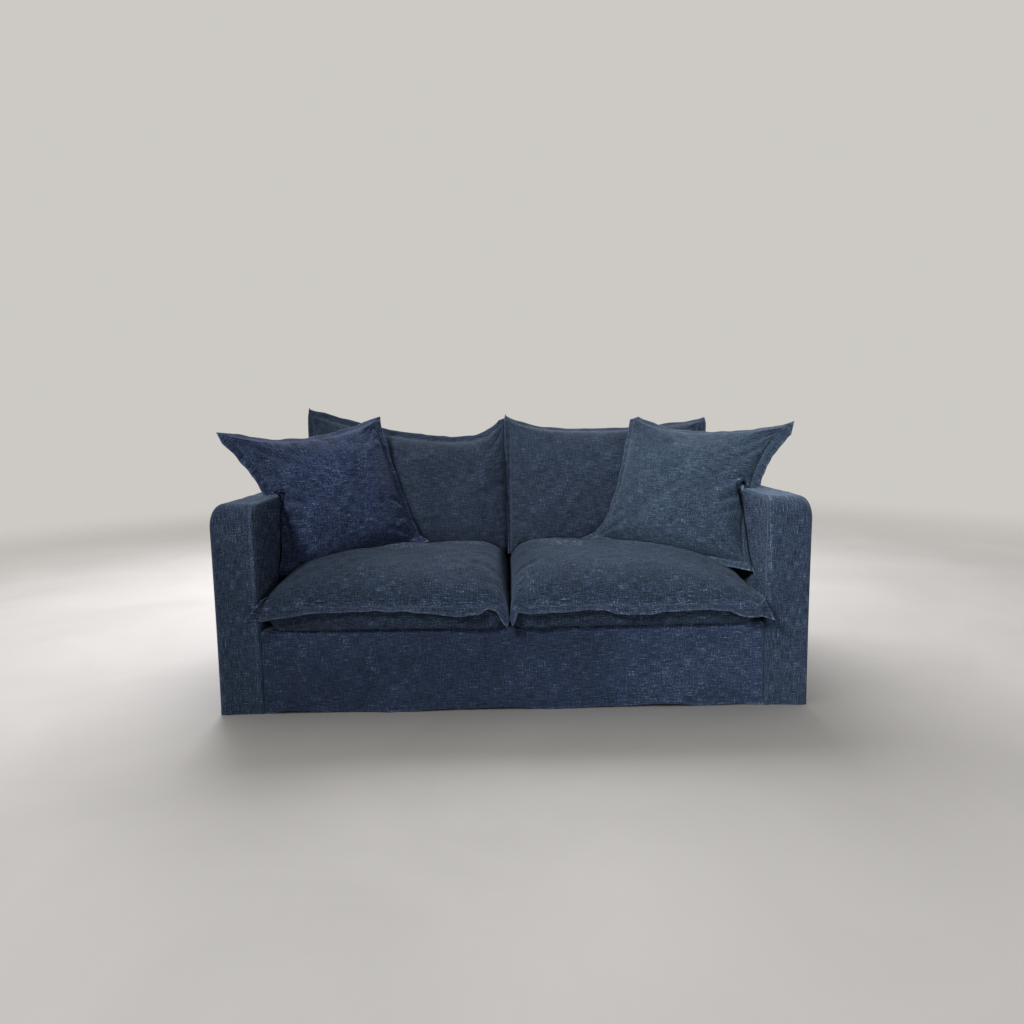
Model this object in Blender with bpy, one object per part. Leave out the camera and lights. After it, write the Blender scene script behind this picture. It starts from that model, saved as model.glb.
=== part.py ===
"""Fitted linen slipcover for a two-seat sofa, with its six flanged feather cushions.

The cover is eleven sewn panels of one cloth, hollow and open underneath, so that it drops over
a sofa frame. Two seat, two back and two scatter cushions lie on it. Each has a knife edge with a
flat flange of its own two cloths round it.

Frame: +X to the right as seen from the front, +Y to the back, +Z up. The origin is on the floor
under the middle of everything. Left and right in the names are as seen from the front. Metres.
"""

import math
from collections import namedtuple

import bmesh
import bpy
import numpy as np
from mathutils import Vector
from mathutils.bvhtree import BVHTree

# Sizes of the cover. Depths below are measured back from the front face of the arms.
COVER_WIDTH = 1.850
COVER_DEPTH = 0.930
COVER_HEIGHT = 0.667
ARM_WIDTH = 0.138
DECK_HEIGHT = 0.270
BACK_FOOT_DEPTH = 0.705
BACK_HEAD_DEPTH = 0.740
FRONT_OVERHANG = 0.055
ORIGIN_DEPTH = (COVER_DEPTH - FRONT_OVERHANG) / 2

CLOTH = 0.0025
SEAM_GAP = 0.0003
TUCK = 0.004

# Radii of the turned edges.
TOP_OUTER_RADIUS = 0.038
FRONT_OUTER_RADIUS = 0.010
SEAM_RADIUS = 0.008
NOSE_RADIUS = 0.045
DECK_FRONT_RADIUS = 0.015
BACK_TOP_RADIUS = 0.015
BACK_RIM_RADIUS = 0.012

HALF_WIDTH = COVER_WIDTH / 2
ARM_INNER = HALF_WIDTH - ARM_WIDTH
PANEL_BACK = COVER_DEPTH - BACK_RIM_RADIUS - SEAM_GAP
FRONT_SETBACK = 0.003
HEM_FLARE = 0.006
SLACK = 0.0022

# Cushions.
FLANGE_CLOTH = 0.004
CONTACT_GAP = 0.0004
NEIGHBOUR_GAP = 0.0003
ARM_CLEARANCE = 0.0012
PARTING_X = -0.011
PARTING_LEAN = 0.010
PARTING_FOOT = 0.42
PARTING_RISE = 0.46
PARTING_DEPTH = 0.560
PARTING_BACK = 0.070
PARTING_SLANT = 0.25
PAD_STEPS = 15
CORNER_STEPS = 3
FOLD_STEPS = 3
FRONT_ROWS = 6
PRESS_REACH = 1.5
PUSH_STEP = 0.0004
PUSH_ROUNDS = 150
CONTACT_ROUNDS = 3
THINNEST = 0.8
MITRE_LEAST = 0.45

Corner = namedtuple("Corner", "x y z tip_x tip_y tip_z")
Side = namedtuple("Side", "draw peak fullness turn flange")
Ripple = namedtuple("Ripple", "along rise")
Cushion = namedtuple("Cushion", "corners sides crown_front crown_back plump under bevel lean ripples")

# Corner rows: where the pad's seam turns, front-left (or bottom-left) first and anticlockwise, and
# how much further the flange's ear reaches than its mitre. Side rows: how far the seam is drawn in,
# where along the side that is most, how full the curve is, how many degrees the flange is turned
# towards the pad's upper (or front) face, and how wide it is. Ripple rows lift the front flange.
CUSHIONS = {
    "seat_cushion_left": Cushion(
        corners=(
            Corner(-0.770, -0.024, 0.352, -0.036, 0.000, 0.000),
            Corner(-0.018, -0.028, 0.344, 0.006, 0.000, -0.002),
            Corner(-0.016, 0.668, 0.352, 0.0, 0.0, 0.0),
            Corner(-0.774, 0.668, 0.352, 0.0, 0.0, 0.0),
        ),
        sides={
            "low": Side(0.006, 0.5, 2.5, -52.0, 0.030),
            "right": Side(0.000, 0.5, 2.5, -80.0, 0.014),
            "high": Side(0.010, 0.5, 2.5, 60.0, 0.020),
            "left": Side(0.000, 0.5, 2.5, 78.0, 0.020),
        },
        crown_front=0.118,
        crown_back=0.190,
        plump=(5.0, 7.0, 2.6, 2.6),
        under=1.7,
        bevel=0.50,
        lean=(0.10, -0.05),
        ripples=(
            Ripple(0.00, -0.016),
            Ripple(0.09, -0.006),
            Ripple(0.25, 0.012),
            Ripple(0.42, 0.013),
            Ripple(0.56, 0.011),
            Ripple(0.66, 0.006),
            Ripple(0.80, -0.004),
            Ripple(0.88, 0.002),
            Ripple(0.925, 0.020),
            Ripple(0.95, 0.015),
            Ripple(1.00, -0.035),
        ),
    ),
    "seat_cushion_right": Cushion(
        corners=(
            Corner(-0.004, -0.028, 0.344, -0.006, 0.000, 0.000),
            Corner(0.768, -0.024, 0.340, 0.020, 0.000, 0.000),
            Corner(0.774, 0.668, 0.352, 0.0, 0.0, 0.0),
            Corner(-0.006, 0.668, 0.352, 0.0, 0.0, 0.0),
        ),
        sides={
            "low": Side(0.006, 0.5, 2.5, -52.0, 0.030),
            "right": Side(0.000, 0.5, 2.5, 78.0, 0.020),
            "high": Side(0.010, 0.5, 2.5, 60.0, 0.020),
            "left": Side(0.000, 0.5, 2.5, -80.0, 0.014),
        },
        crown_front=0.126,
        crown_back=0.190,
        plump=(7.0, 4.4, 2.6, 2.6),
        under=1.7,
        bevel=0.50,
        lean=(-0.20, -0.05),
        ripples=(
            Ripple(0.00, -0.034),
            Ripple(0.025, 0.010),
            Ripple(0.083, 0.002),
            Ripple(0.17, 0.006),
            Ripple(0.326, 0.013),
            Ripple(0.44, -0.003),
            Ripple(0.53, -0.005),
            Ripple(0.63, 0.004),
            Ripple(0.757, 0.010),
            Ripple(0.85, 0.004),
            Ripple(0.94, -0.018),
            Ripple(1.00, -0.015),
        ),
    ),
    "back_cushion_left": Cushion(
        corners=(
            Corner(-0.756, 0.560, 0.440, 0.0, 0.0, 0.0),
            Corner(-0.0145, 0.556, 0.392, 0.0, 0.0, 0.0),
            Corner(-0.0235, 0.632, 0.892, 0.014, 0.002, 0.014),
            Corner(-0.768, 0.642, 0.932, -0.004, 0.0, 0.010),
        ),
        sides={
            "low": Side(0.004, 0.5, 2.5, -80.0, 0.020),
            "right": Side(-0.002, 0.5, 2.5, -76.0, 0.022),
            "high": Side(0.080, 0.70, 2.5, -25.0, 0.028),
            "left": Side(0.010, 0.5, 2.5, -12.0, 0.026),
        },
        crown_front=0.088,
        crown_back=0.076,
        plump=(2.8, 5.0, 3.0, 2.8),
        under=1.0,
        bevel=0.50,
        lean=(0.0, -0.12),
        ripples=(),
    ),
    "back_cushion_right": Cushion(
        corners=(
            Corner(-0.002, 0.552, 0.394, 0.0, 0.0, 0.0),
            Corner(0.756, 0.560, 0.436, 0.0, 0.0, 0.0),
            Corner(0.746, 0.636, 0.888, 0.003, 0.0, 0.012),
            Corner(0.002, 0.632, 0.902, 0.0, 0.0, 0.010),
        ),
        sides={
            "low": Side(0.004, 0.5, 2.5, -80.0, 0.020),
            "right": Side(0.010, 0.5, 2.5, -12.0, 0.026),
            "high": Side(0.040, 0.38, 2.4, -55.0, 0.024),
            "left": Side(0.000, 0.5, 2.5, 12.0, 0.022),
        },
        crown_front=0.090,
        crown_back=0.076,
        plump=(4.5, 2.8, 3.0, 2.8),
        under=1.0,
        bevel=0.50,
        lean=(0.0, -0.12),
        ripples=(),
    ),
    "scatter_cushion_left": Cushion(
        corners=(
            Corner(-0.750, 0.200, 0.430, 0.0, 0.0, 0.0),
            Corner(-0.356, 0.436, 0.480, 0.016, 0.008, 0.006),
            Corner(-0.506, 0.524, 0.908, 0.015, 0.0, 0.014),
            Corner(-0.952, 0.276, 0.868, -0.020, 0.000, 0.030),
        ),
        sides={
            "low": Side(-0.004, 0.5, 2.5, 10.0, 0.026),
            "right": Side(0.012, 0.45, 2.2, -25.0, 0.032),
            "high": Side(0.046, 0.50, 2.0, -48.0, 0.026),
            "left": Side(0.058, 0.46, 2.4, -35.0, 0.034),
        },
        crown_front=0.088,
        crown_back=0.062,
        plump=(2.5, 2.5, 2.6, 2.4),
        under=1.0,
        bevel=0.55,
        lean=(0.05, -0.10),
        ripples=(),
    ),
    "scatter_cushion_right": Cushion(
        corners=(
            Corner(0.318, 0.430, 0.480, -0.056, 0.006, -0.002),
            Corner(0.764, 0.134, 0.434, 0.020, -0.036, 0.006),
            Corner(0.950, 0.312, 0.870, 0.014, 0.002, 0.040),
            Corner(0.470, 0.524, 0.904, 0.003, 0.0, -0.003),
        ),
        sides={
            "low": Side(-0.002, 0.5, 2.5, 10.0, 0.026),
            "right": Side(0.056, 0.54, 2.4, -35.0, 0.036),
            "high": Side(0.046, 0.42, 2.0, -48.0, 0.026),
            "left": Side(0.032, 0.30, 2.2, -30.0, 0.024),
        },
        crown_front=0.090,
        crown_back=0.062,
        plump=(2.5, 2.5, 2.6, 2.4),
        under=1.0,
        bevel=0.55,
        lean=(-0.05, -0.10),
        ripples=(),
    ),
}

COLLECTION = "sofa_slipcover"

SIDES = {"low": np.s_[0, :], "high": np.s_[-1, :], "left": np.s_[:, 0], "right": np.s_[:, -1]}
LEFTWARD = (-1.0, 0.0, 0.0)
RIGHTWARD = (1.0, 0.0, 0.0)
UPWARD = (0.0, 0.0, 1.0)

Finish = namedtuple("Finish", "red green blue roughness")
FINISHES = {
    "band": Finish(0.042, 0.062, 0.092, 0.92),
    "panel": Finish(0.032, 0.047, 0.078, 0.93),
    "shade": Finish(0.028, 0.040, 0.068, 0.94),
    "seat": Finish(0.040, 0.050, 0.072, 0.93),
    "back": Finish(0.036, 0.052, 0.082, 0.93),
    "dark_scatter": Finish(0.026, 0.036, 0.070, 0.93),
    "light_scatter": Finish(0.050, 0.080, 0.122, 0.93),
}


# Scene and mesh helpers.


def clear_scene():
    """Remove every object, so the script can be run again in the same file."""
    for old in list(bpy.data.objects):
        bpy.data.objects.remove(old, do_unlink=True)


def cloth_material(name, finish):
    """A plain matt cloth colour for one panel or cushion."""
    material = bpy.data.materials.new(name)
    material.use_nodes = True
    shader = material.node_tree.nodes["Principled BSDF"]
    shader.inputs["Base Color"].default_value = (finish.red, finish.green, finish.blue, 1.0)
    shader.inputs["Roughness"].default_value = finish.roughness
    shader.inputs["Metallic"].default_value = 0.0
    return material


def grid_into(bm, points):
    """Add a grid primitive to bm and carry its vertices to a rows x columns x 3 array of points."""
    rows, columns = points.shape[:2]
    made = bmesh.ops.create_grid(bm, x_segments=columns - 1, y_segments=rows - 1, size=1.0)
    for vert in made["verts"]:
        column = round((vert.co.x + 1) / 2 * (columns - 1))
        row = round((vert.co.y + 1) / 2 * (rows - 1))
        vert.co = points[row, column]
    return made["verts"]


def link_mesh(name, bm, finish, collection):
    """Turn bm into the object of one node, with its own material, at its place in the frame."""
    mesh = bpy.data.meshes.new(name)
    bm.to_mesh(mesh)
    bm.free()
    mesh.materials.append(cloth_material(name + "_cloth", finish))
    mesh.shade_smooth()
    thing = bpy.data.objects.new(name, mesh)
    thing.location = (0.0, -ORIGIN_DEPTH, 0.0)
    collection.objects.link(thing)
    return thing


def two_faced_object(name, front, back, finish, collection):
    """One closed solid: its two faces as grids, bridged round their rim."""
    bm = bmesh.new()
    grid_into(bm, front)
    grid_into(bm, back)
    rim = [edge for edge in bm.edges if edge.is_boundary]
    bmesh.ops.bridge_loops(bm, edges=rim)
    bmesh.ops.recalc_face_normals(bm, faces=bm.faces[:])
    if bm.calc_volume(signed=True) < 0:
        bmesh.ops.reverse_faces(bm, faces=bm.faces[:])
    return link_mesh(name, bm, finish, collection)


def sheet(points, **rims):
    """Outer and inner faces of a panel, CLOTH apart.

    rims name the sides whose cloth is turned over an edge, each with the way its rim faces, so
    that neighbouring rims meet square.
    """
    outer = flared(points)
    normal = grid_normals(outer)
    for side, facing in rims.items():
        normal[SIDES[side]] = facing
    return outer, outer - CLOTH * normal


def mirrored(faces):
    """The same panel on the other side, with its columns turned round so it still faces out."""
    return [face[:, ::-1] * np.array([-1.0, 1.0, 1.0]) for face in faces]


# Shape helpers, all on whole arrays.


def ease(value):
    """0 to 1 with flat ends: the usual cubic step."""
    value = np.clip(value, 0.0, 1.0)
    return value * value * (3 - 2 * value)


def spans(start, *stretches):
    """Grid places from start on. Each stretch is an (end, steps) pair, cut evenly into its steps."""
    places = [np.array([start])]
    for end, steps in stretches:
        places.append(np.linspace(start, end, steps + 1)[1:])
        start = end
    return np.concatenate(places)


def flared(points):
    """Spread the skirt a little towards the hem, as cut cloth hangs, the same for every panel."""
    low = np.clip(1 - points[..., 2] / COVER_HEIGHT, 0.0, 1.0) ** 2
    out = points.copy()
    out[..., 0] *= 1 + HEM_FLARE * low
    out[..., 1] = COVER_DEPTH / 2 + (points[..., 1] - COVER_DEPTH / 2) * (1 + HEM_FLARE * low)
    return out


def slack(across, along, phase):
    """Uneven slack of washed cloth: three low waves, none at the sides, 0 to 1 along both."""
    edge = np.sin(np.pi * np.clip(across, 0, 1)) ** 0.6
    wave = (
        np.sin(5.3 * across + 2.1 * along + phase)
        + 0.7 * np.sin(2.7 * across - 6.4 * along + 1.7 * phase)
        + 0.5 * np.sin(11.0 * across + 3.0 * along + 0.6 * phase)
    )
    return SLACK * edge * wave


def turned(distance, radius):
    """Depth below a face of an edge rounded off over its last radius, by distance to that edge."""
    inside = np.clip(radius - distance, 0.0, radius)
    return radius - np.sqrt(np.maximum(radius**2 - inside**2, 0.0))


def rounded_sheet(columns, rows, corner_radius, corners):
    """Flat outline with round top corners, as places (p, q) on a columns x rows grid.

    columns and rows are rising distances along the two sides. In the square block at a round
    corner the grid's concentric squares become concentric quarter circles.
    """
    p, q = np.meshgrid(columns, rows)
    for side in corners:
        edge = columns[0] if side < 0 else columns[-1]
        centre_p = edge - side * corner_radius
        centre_q = rows[-1] - corner_radius
        out_p = np.maximum(side * (p - centre_p), 0.0)
        out_q = np.maximum(q - centre_q, 0.0)
        block = (out_p > 1e-9) & (out_q > 1e-9)
        reach = np.maximum(out_p, out_q)
        safe = np.where(reach > 0, reach, 1.0)
        steep = out_q > out_p
        part = np.where(steep, out_p, out_q) / safe
        angle = np.where(steep, math.pi / 2 - part * math.pi / 4, part * math.pi / 4)
        p = np.where(block, centre_p + side * reach * np.cos(angle), p)
        q = np.where(block, centre_q + reach * np.sin(angle), q)
    return p, q


# The cover's panels. Each function returns the outer face's grid of points.


def arm_band_points():
    """Left arm's long band: up the front from the hem, over the nose and back along the top.

    Columns cross the arm from its outer edge to its inner seam, with both edges turned. Rows
    follow the side outline. Every column has the same path, set in by its turned edge.
    """
    quarter = math.pi / 2
    outer = [TOP_OUTER_RADIUS * (1 - math.cos(quarter * k / 4)) for k in range(5)]
    inner = [SEAM_RADIUS * (1 - math.cos(quarter * k / 2)) for k in range(3)]
    middle = np.linspace(outer[-1], ARM_WIDTH - inner[-1], 5)[1:-1]
    across = np.concatenate([outer, middle, ARM_WIDTH - np.array(inner[::-1])])
    from_inner = ARM_WIDTH - across
    seam_set = turned(from_inner, SEAM_RADIUS)
    front_set = turned(across, FRONT_OUTER_RADIUS) + seam_set
    top_set = turned(across, TOP_OUTER_RADIUS) + seam_set

    foot = np.linspace(0, 1, 8)[:, None]
    nose = np.linspace(0.0, quarter, 2 * CORNER_STEPS + 1)[1:, None]
    run = np.linspace(0, 1, 8)[1:, None]

    width = across[None, :]
    share = width / ARM_WIDTH
    top = COVER_HEIGHT - top_set[None, :]
    front = front_set[None, :] + 0 * width

    up_z = foot * (top - NOSE_RADIUS)
    up_y = front + 0 * up_z
    up_y = up_y - slack(share + 0 * up_z, foot + 0 * up_z, 0.8) * ease(4 * (1 - foot))
    nose_y = front + NOSE_RADIUS * (1 - np.cos(nose))
    nose_z = top - NOSE_RADIUS * (1 - np.sin(nose))
    start = front + NOSE_RADIUS
    run_y = start + run * (PANEL_BACK - start)
    sway = slack(share + 0 * run_y, run + 0 * share, 2.6) * np.sin(np.pi * run)
    run_z = top + sway
    y = np.concatenate([up_y, nose_y, run_y])
    z = np.concatenate([up_z, nose_z, run_z])
    x = -HALF_WIDTH + width + 0 * y
    return np.stack([x, y, z], axis=-1)


def inside_arm_points():
    """Left arm's inner face, from its nose to just past the inside back, deck to top seam."""
    head = COVER_HEIGHT - SEAM_RADIUS - SEAM_GAP
    start = SEAM_RADIUS + SEAM_GAP
    radius = NOSE_RADIUS - SEAM_GAP
    length = BACK_HEAD_DEPTH + TUCK - start
    columns = spans(0.0, (radius, CORNER_STEPS), (length, 8))
    rows = spans(DECK_HEIGHT - TUCK, (head - radius, 5), (head, CORNER_STEPS))
    p, q = rounded_sheet(columns, rows, radius, (-1,))
    lean = (BACK_HEAD_DEPTH - BACK_FOOT_DEPTH) * (1 - (q - DECK_HEIGHT) / (COVER_HEIGHT - DECK_HEIGHT))
    y = start + p - lean * ease((p - radius) / (length - radius))
    high = (q - DECK_HEIGHT) / (head - DECK_HEIGHT)
    bow = slack(p / length, high, 1.9) * np.sin(np.pi * np.clip(high, 0, 1)) ** 0.5
    x = -ARM_INNER - 0.001 - np.abs(bow)
    edge = ease(np.minimum(np.minimum(p, length - p), head - q) / 0.04)
    x = -ARM_INNER + (x + ARM_INNER) * edge
    return np.stack([x, y, q], axis=-1)


def outside_arm_points():
    """Left arm's outer face, from the hem to the top seam, with the nose's round corner."""
    head = COVER_HEIGHT - TOP_OUTER_RADIUS - SEAM_GAP
    start = FRONT_OUTER_RADIUS + SEAM_GAP
    radius = NOSE_RADIUS - SEAM_GAP
    length = PANEL_BACK - start
    columns = spans(0.0, (radius, CORNER_STEPS), (length, 8))
    rows = spans(0.0, (head - radius, 6), (head, CORNER_STEPS))
    p, q = rounded_sheet(columns, rows, radius, (-1,))
    edge = ease(np.minimum(np.minimum(p, length - p), head - q) / 0.05)
    x = -HALF_WIDTH - slack(p / length, q / head, 4.1) * edge
    points = np.stack([x, start + p, q], axis=-1)
    return points[:, ::-1]


def turned_ends(half, steps):
    """Places across a panel from -half to half, even but for two short steps over each turned end."""
    turn = np.array([SEAM_RADIUS * (1 - math.cos(math.pi / 4 * k)) for k in range(3)])
    middle = np.linspace(-half + SEAM_RADIUS, half - SEAM_RADIUS, steps)[1:-1]
    return np.concatenate([turn - half, middle, half - turn[::-1]])


def fold_angles():
    """Angles of the rows that turn a panel's top edge from upright to flat."""
    return np.linspace(0.0, math.pi / 2, FOLD_STEPS + 1)[1:]


def front_rim(facing):
    """Which way a side rim of the front panel faces: out to its side, and up where its top turns."""
    angle = np.concatenate([np.zeros(FRONT_ROWS), fold_angles()])[:, None]
    return np.cos(angle) * np.array(facing) + np.sin(angle) * np.array(UPWARD)


def front_panel_points():
    """Skirt between the arms: hem, face, and the turned edge that meets the deck."""
    half = ARM_INNER - SEAM_GAP
    across = turned_ends(half, 19)
    side = turned(half - np.abs(across), SEAM_RADIUS)[None, :]
    share = ((across + half) / (2 * half))[None, :]
    fold = fold_angles()[:, None]
    foot = np.linspace(0, 1, FRONT_ROWS)[:, None]

    inner = ease((half - np.abs(across)) / 0.08)[None, :]
    hem = (0.004 + 0.003 * np.sin(17.0 * share + 0.6) + 0.002 * np.sin(41.0 * share)) * inner
    up_z = hem + foot * (DECK_HEIGHT - DECK_FRONT_RADIUS - hem)
    wave = slack(share + 0 * up_z, foot + 0 * share, 0.3) * 1.3
    wave = wave + 0.0025 * np.sin(23.0 * share + 1.0) * (1 - foot) ** 2 * inner
    up_y = FRONT_SETBACK + side - wave * ease(5 * (1 - foot))
    fold_y = FRONT_SETBACK + side * np.cos(fold) + DECK_FRONT_RADIUS * (1 - np.cos(fold))
    fold_z = DECK_HEIGHT - DECK_FRONT_RADIUS * (1 - np.sin(fold)) + 0 * share
    y = np.concatenate([up_y, fold_y])
    z = np.concatenate([up_z, fold_z])
    x = across[None, :] + 0 * y
    return np.stack([x, y, z], axis=-1)


def deck_points():
    """The platform under the seat cushions, flat, from the skirt's turned edge to the back."""
    half = ARM_INNER - SEAM_GAP
    x, y = np.meshgrid(
        np.linspace(-half, half, 7),
        np.linspace(FRONT_SETBACK + DECK_FRONT_RADIUS + SEAM_GAP, BACK_FOOT_DEPTH - SEAM_GAP, 4),
    )
    return np.stack([x, y, np.full_like(x, DECK_HEIGHT)], axis=-1)


def inside_back_depth(z):
    """Depth of the leaning inside back at a height."""
    share = (z - DECK_HEIGHT) / (COVER_HEIGHT - DECK_HEIGHT)
    return BACK_FOOT_DEPTH + (BACK_HEAD_DEPTH - BACK_FOOT_DEPTH) * share


def inside_back_points():
    """The leaning panel behind the back cushions, with its top edge turned over the back."""
    half = ARM_INNER - SEAM_GAP
    fold = fold_angles()
    rise = np.linspace(DECK_HEIGHT - TUCK, COVER_HEIGHT - BACK_TOP_RADIUS, 4)
    shoulder = inside_back_depth(rise[-1])
    y = np.concatenate([inside_back_depth(rise), shoulder + BACK_TOP_RADIUS * (1 - np.cos(fold))])
    z = np.concatenate([rise, COVER_HEIGHT - BACK_TOP_RADIUS * (1 - np.sin(fold))])
    x, y = np.meshgrid(np.linspace(-half, half, 9), y)
    z = np.repeat(z[:, None], x.shape[1], axis=1)
    return np.stack([x, y, z], axis=-1)


def back_band_points():
    """Strip along the top of the back, between the arms, with its two ends turned down."""
    half = ARM_INNER - SEAM_GAP
    across = turned_ends(half, 11)
    start = inside_back_depth(COVER_HEIGHT - BACK_TOP_RADIUS) + BACK_TOP_RADIUS + SEAM_GAP
    x, y = np.meshgrid(across, np.linspace(start, PANEL_BACK, 5))
    share = (y - start) / (PANEL_BACK - start)
    ripple = slack((x + half) / (2 * half), share, 3.3) * np.sin(np.pi * share)
    z = COVER_HEIGHT - turned(half - np.abs(x), SEAM_RADIUS) - np.abs(ripple)
    return np.stack([x, y, z], axis=-1)


def outside_back_points():
    """The whole rear face, a shallow tray whose rim turns forward to the arms and the top."""
    face = TOP_OUTER_RADIUS - BACK_RIM_RADIUS
    block = np.array([0.0] + [face + BACK_RIM_RADIUS * math.sin(math.pi / 2 * k / 3) for k in range(4)])
    middle = np.linspace(-HALF_WIDTH + TOP_OUTER_RADIUS, HALF_WIDTH - TOP_OUTER_RADIUS, 11)[1:-1]
    left = -HALF_WIDTH + TOP_OUTER_RADIUS - block
    columns = np.concatenate([left[::-1], middle, -left])
    shoulder = COVER_HEIGHT - TOP_OUTER_RADIUS
    rows = np.concatenate([np.linspace(0, shoulder, 6)[:-1], shoulder + block])
    p, q = rounded_sheet(columns, rows, TOP_OUTER_RADIUS, (-1, 1))
    out_p = np.maximum(np.abs(p) - (HALF_WIDTH - TOP_OUTER_RADIUS), 0.0)
    out_q = np.maximum(q - shoulder, 0.0)
    reach = np.hypot(out_p, out_q)
    depth = turned(TOP_OUTER_RADIUS - reach, BACK_RIM_RADIUS)
    share = (p + HALF_WIDTH) / COVER_WIDTH
    high = q / COVER_HEIGHT
    edge = ease((TOP_OUTER_RADIUS - reach - BACK_RIM_RADIUS) / (TOP_OUTER_RADIUS - BACK_RIM_RADIUS))
    y = COVER_DEPTH - depth - np.abs(slack(share, high, 5.2)) * edge
    return np.stack([p, y, q], axis=-1)[:, ::-1]


def tray_rim(points):
    """Which way the rear face's rim faces at each point: square to its outline, in the plane X-Z."""
    shoulder = COVER_HEIGHT - TOP_OUTER_RADIUS
    turn = HALF_WIDTH - TOP_OUTER_RADIUS
    out_x = np.sign(points[..., 0]) * np.maximum(np.abs(points[..., 0]) - turn, 0.0)
    out_z = np.maximum(points[..., 2] - shoulder, 0.0)
    return unit(np.stack([out_x, np.zeros_like(out_x), out_z], axis=-1))


def build_cover(collection):
    """Make the eleven panels and return their objects."""
    back = outside_back_points()
    band = sheet(arm_band_points(), left=LEFTWARD, right=RIGHTWARD)
    inside = sheet(inside_arm_points(), **dict.fromkeys(SIDES, RIGHTWARD))
    outside = sheet(outside_arm_points(), **dict.fromkeys(SIDES, LEFTWARD))
    rim = tray_rim(back)
    panels = {
        "arm_band_left": (band, "band"),
        "arm_band_right": (mirrored(band), "band"),
        "inside_arm_left": (inside, "shade"),
        "inside_arm_right": (mirrored(inside), "shade"),
        "outside_arm_left": (outside, "panel"),
        "outside_arm_right": (mirrored(outside), "panel"),
        "front_panel": (
            sheet(
                front_panel_points(),
                high=UPWARD,
                left=front_rim(LEFTWARD),
                right=front_rim(RIGHTWARD),
            ),
            "panel",
        ),
        "deck_panel": (sheet(deck_points()), "shade"),
        "inside_back": (sheet(inside_back_points(), high=UPWARD), "shade"),
        "back_band": (
            sheet(back_band_points(), low=UPWARD, high=UPWARD, left=LEFTWARD, right=RIGHTWARD),
            "band",
        ),
        "outside_back": (
            sheet(back, high=rim[SIDES["high"]], left=rim[SIDES["left"]], right=rim[SIDES["right"]]),
            "panel",
        ),
    }
    return [
        two_faced_object(name, *faces, FINISHES[finish], collection)
        for name, (faces, finish) in panels.items()
    ]


# Cushions.


def bump(share, peak, fullness):
    """A curve that is 0 at both ends and 1 at peak: a parabola at fullness 2, flatter above it."""
    even = share * (1 - peak) / (peak * (1 - share) + share * (1 - peak))
    return 1 - np.abs(2 * even - 1) ** fullness


def unit(vectors):
    """Vectors of length one."""
    return vectors / np.maximum(np.linalg.norm(vectors, axis=-1, keepdims=True), 1e-9)


def grid_normals(points):
    """Unit normals of a grid of points: across its columns, then up its rows."""
    across = np.gradient(points, axis=1)
    up = np.gradient(points, axis=0)
    return unit(np.cross(across, up))


def pad_seam_surface(cushion, steps):
    """The pad's middle surface: a Coons patch between its four drawn-in seams."""
    low_left, low_right, high_right, high_left = [np.array(c[:3]) for c in cushion.corners]
    across = unit(low_right + high_right - low_left - high_left)
    normal = unit(np.cross(across, high_left + high_right - low_left - low_right))
    up = np.cross(normal, across)
    share = (1 + np.sin(np.linspace(-math.pi / 2, math.pi / 2, steps))) / 2
    column = share[:, None]

    def seam(start, end, outward, side):
        drawn = side.draw * bump(share, side.peak, side.fullness)[:, None]
        return start + column * (end - start) - outward * drawn

    sides = cushion.sides
    low = seam(low_left, low_right, -up, sides["low"])
    high = seam(high_left, high_right, up, sides["high"])
    left = seam(low_left, high_left, -across, sides["left"])
    right = seam(low_right, high_right, across, sides["right"])
    s = share[None, :, None]
    t = share[:, None, None]
    ruled = (1 - t) * low[None] + t * high[None] + (1 - s) * left[:, None] + s * right[:, None]
    corners = (1 - t) * ((1 - s) * low_left + s * low_right) + t * ((1 - s) * high_left + s * high_right)
    return ruled - corners, share


def with_flange(cushion, pad, share):
    """Add one row or column of flange round the pad, square to its seam and mitred at the corners.

    Each side's flange is turned towards the pad's upper face by its own angle, and the front one
    is lifted and dropped by its ripples.
    """
    normal = grid_normals(pad)
    across = np.gradient(pad, axis=1)
    up = np.gradient(pad, axis=0)

    def reach(outward, face, side):
        turn = math.radians(side.turn)
        return side.flange * (math.cos(turn) * unit(outward) + math.sin(turn) * face)

    def mitre(first, second):
        towards = unit(first) @ unit(second)
        return (first + second) / max(1 + towards, MITRE_LEAST)

    sides = cushion.sides
    low = reach(-np.cross(normal[0], across[0]), normal[0], sides["low"])
    high = reach(np.cross(normal[-1], across[-1]), normal[-1], sides["high"])
    left = reach(-np.cross(up[:, 0], normal[:, 0]), normal[:, 0], sides["left"])
    right = reach(np.cross(up[:, -1], normal[:, -1]), normal[:, -1], sides["right"])
    if cushion.ripples:
        along = [ripple.along for ripple in cushion.ripples]
        rise = [ripple.rise for ripple in cushion.ripples]
        low = low + np.interp(share, along, rise)[:, None] * np.array([0.0, 0.0, 1.0])

    steps = len(share)
    whole = np.zeros((steps + 2, steps + 2, 3))
    whole[1:-1, 1:-1] = pad
    whole[0, 1:-1] = pad[0] + low
    whole[-1, 1:-1] = pad[-1] + high
    whole[1:-1, 0] = pad[:, 0] + left
    whole[1:-1, -1] = pad[:, -1] + right
    tips = [np.array(corner[3:]) for corner in cushion.corners]
    whole[0, 0] = pad[0, 0] + mitre(low[0], left[0]) + tips[0]
    whole[0, -1] = pad[0, -1] + mitre(low[-1], right[0]) + tips[1]
    whole[-1, -1] = pad[-1, -1] + mitre(high[-1], right[-1]) + tips[2]
    whole[-1, 0] = pad[-1, 0] + mitre(high[0], left[-1]) + tips[3]
    return whole


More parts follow.
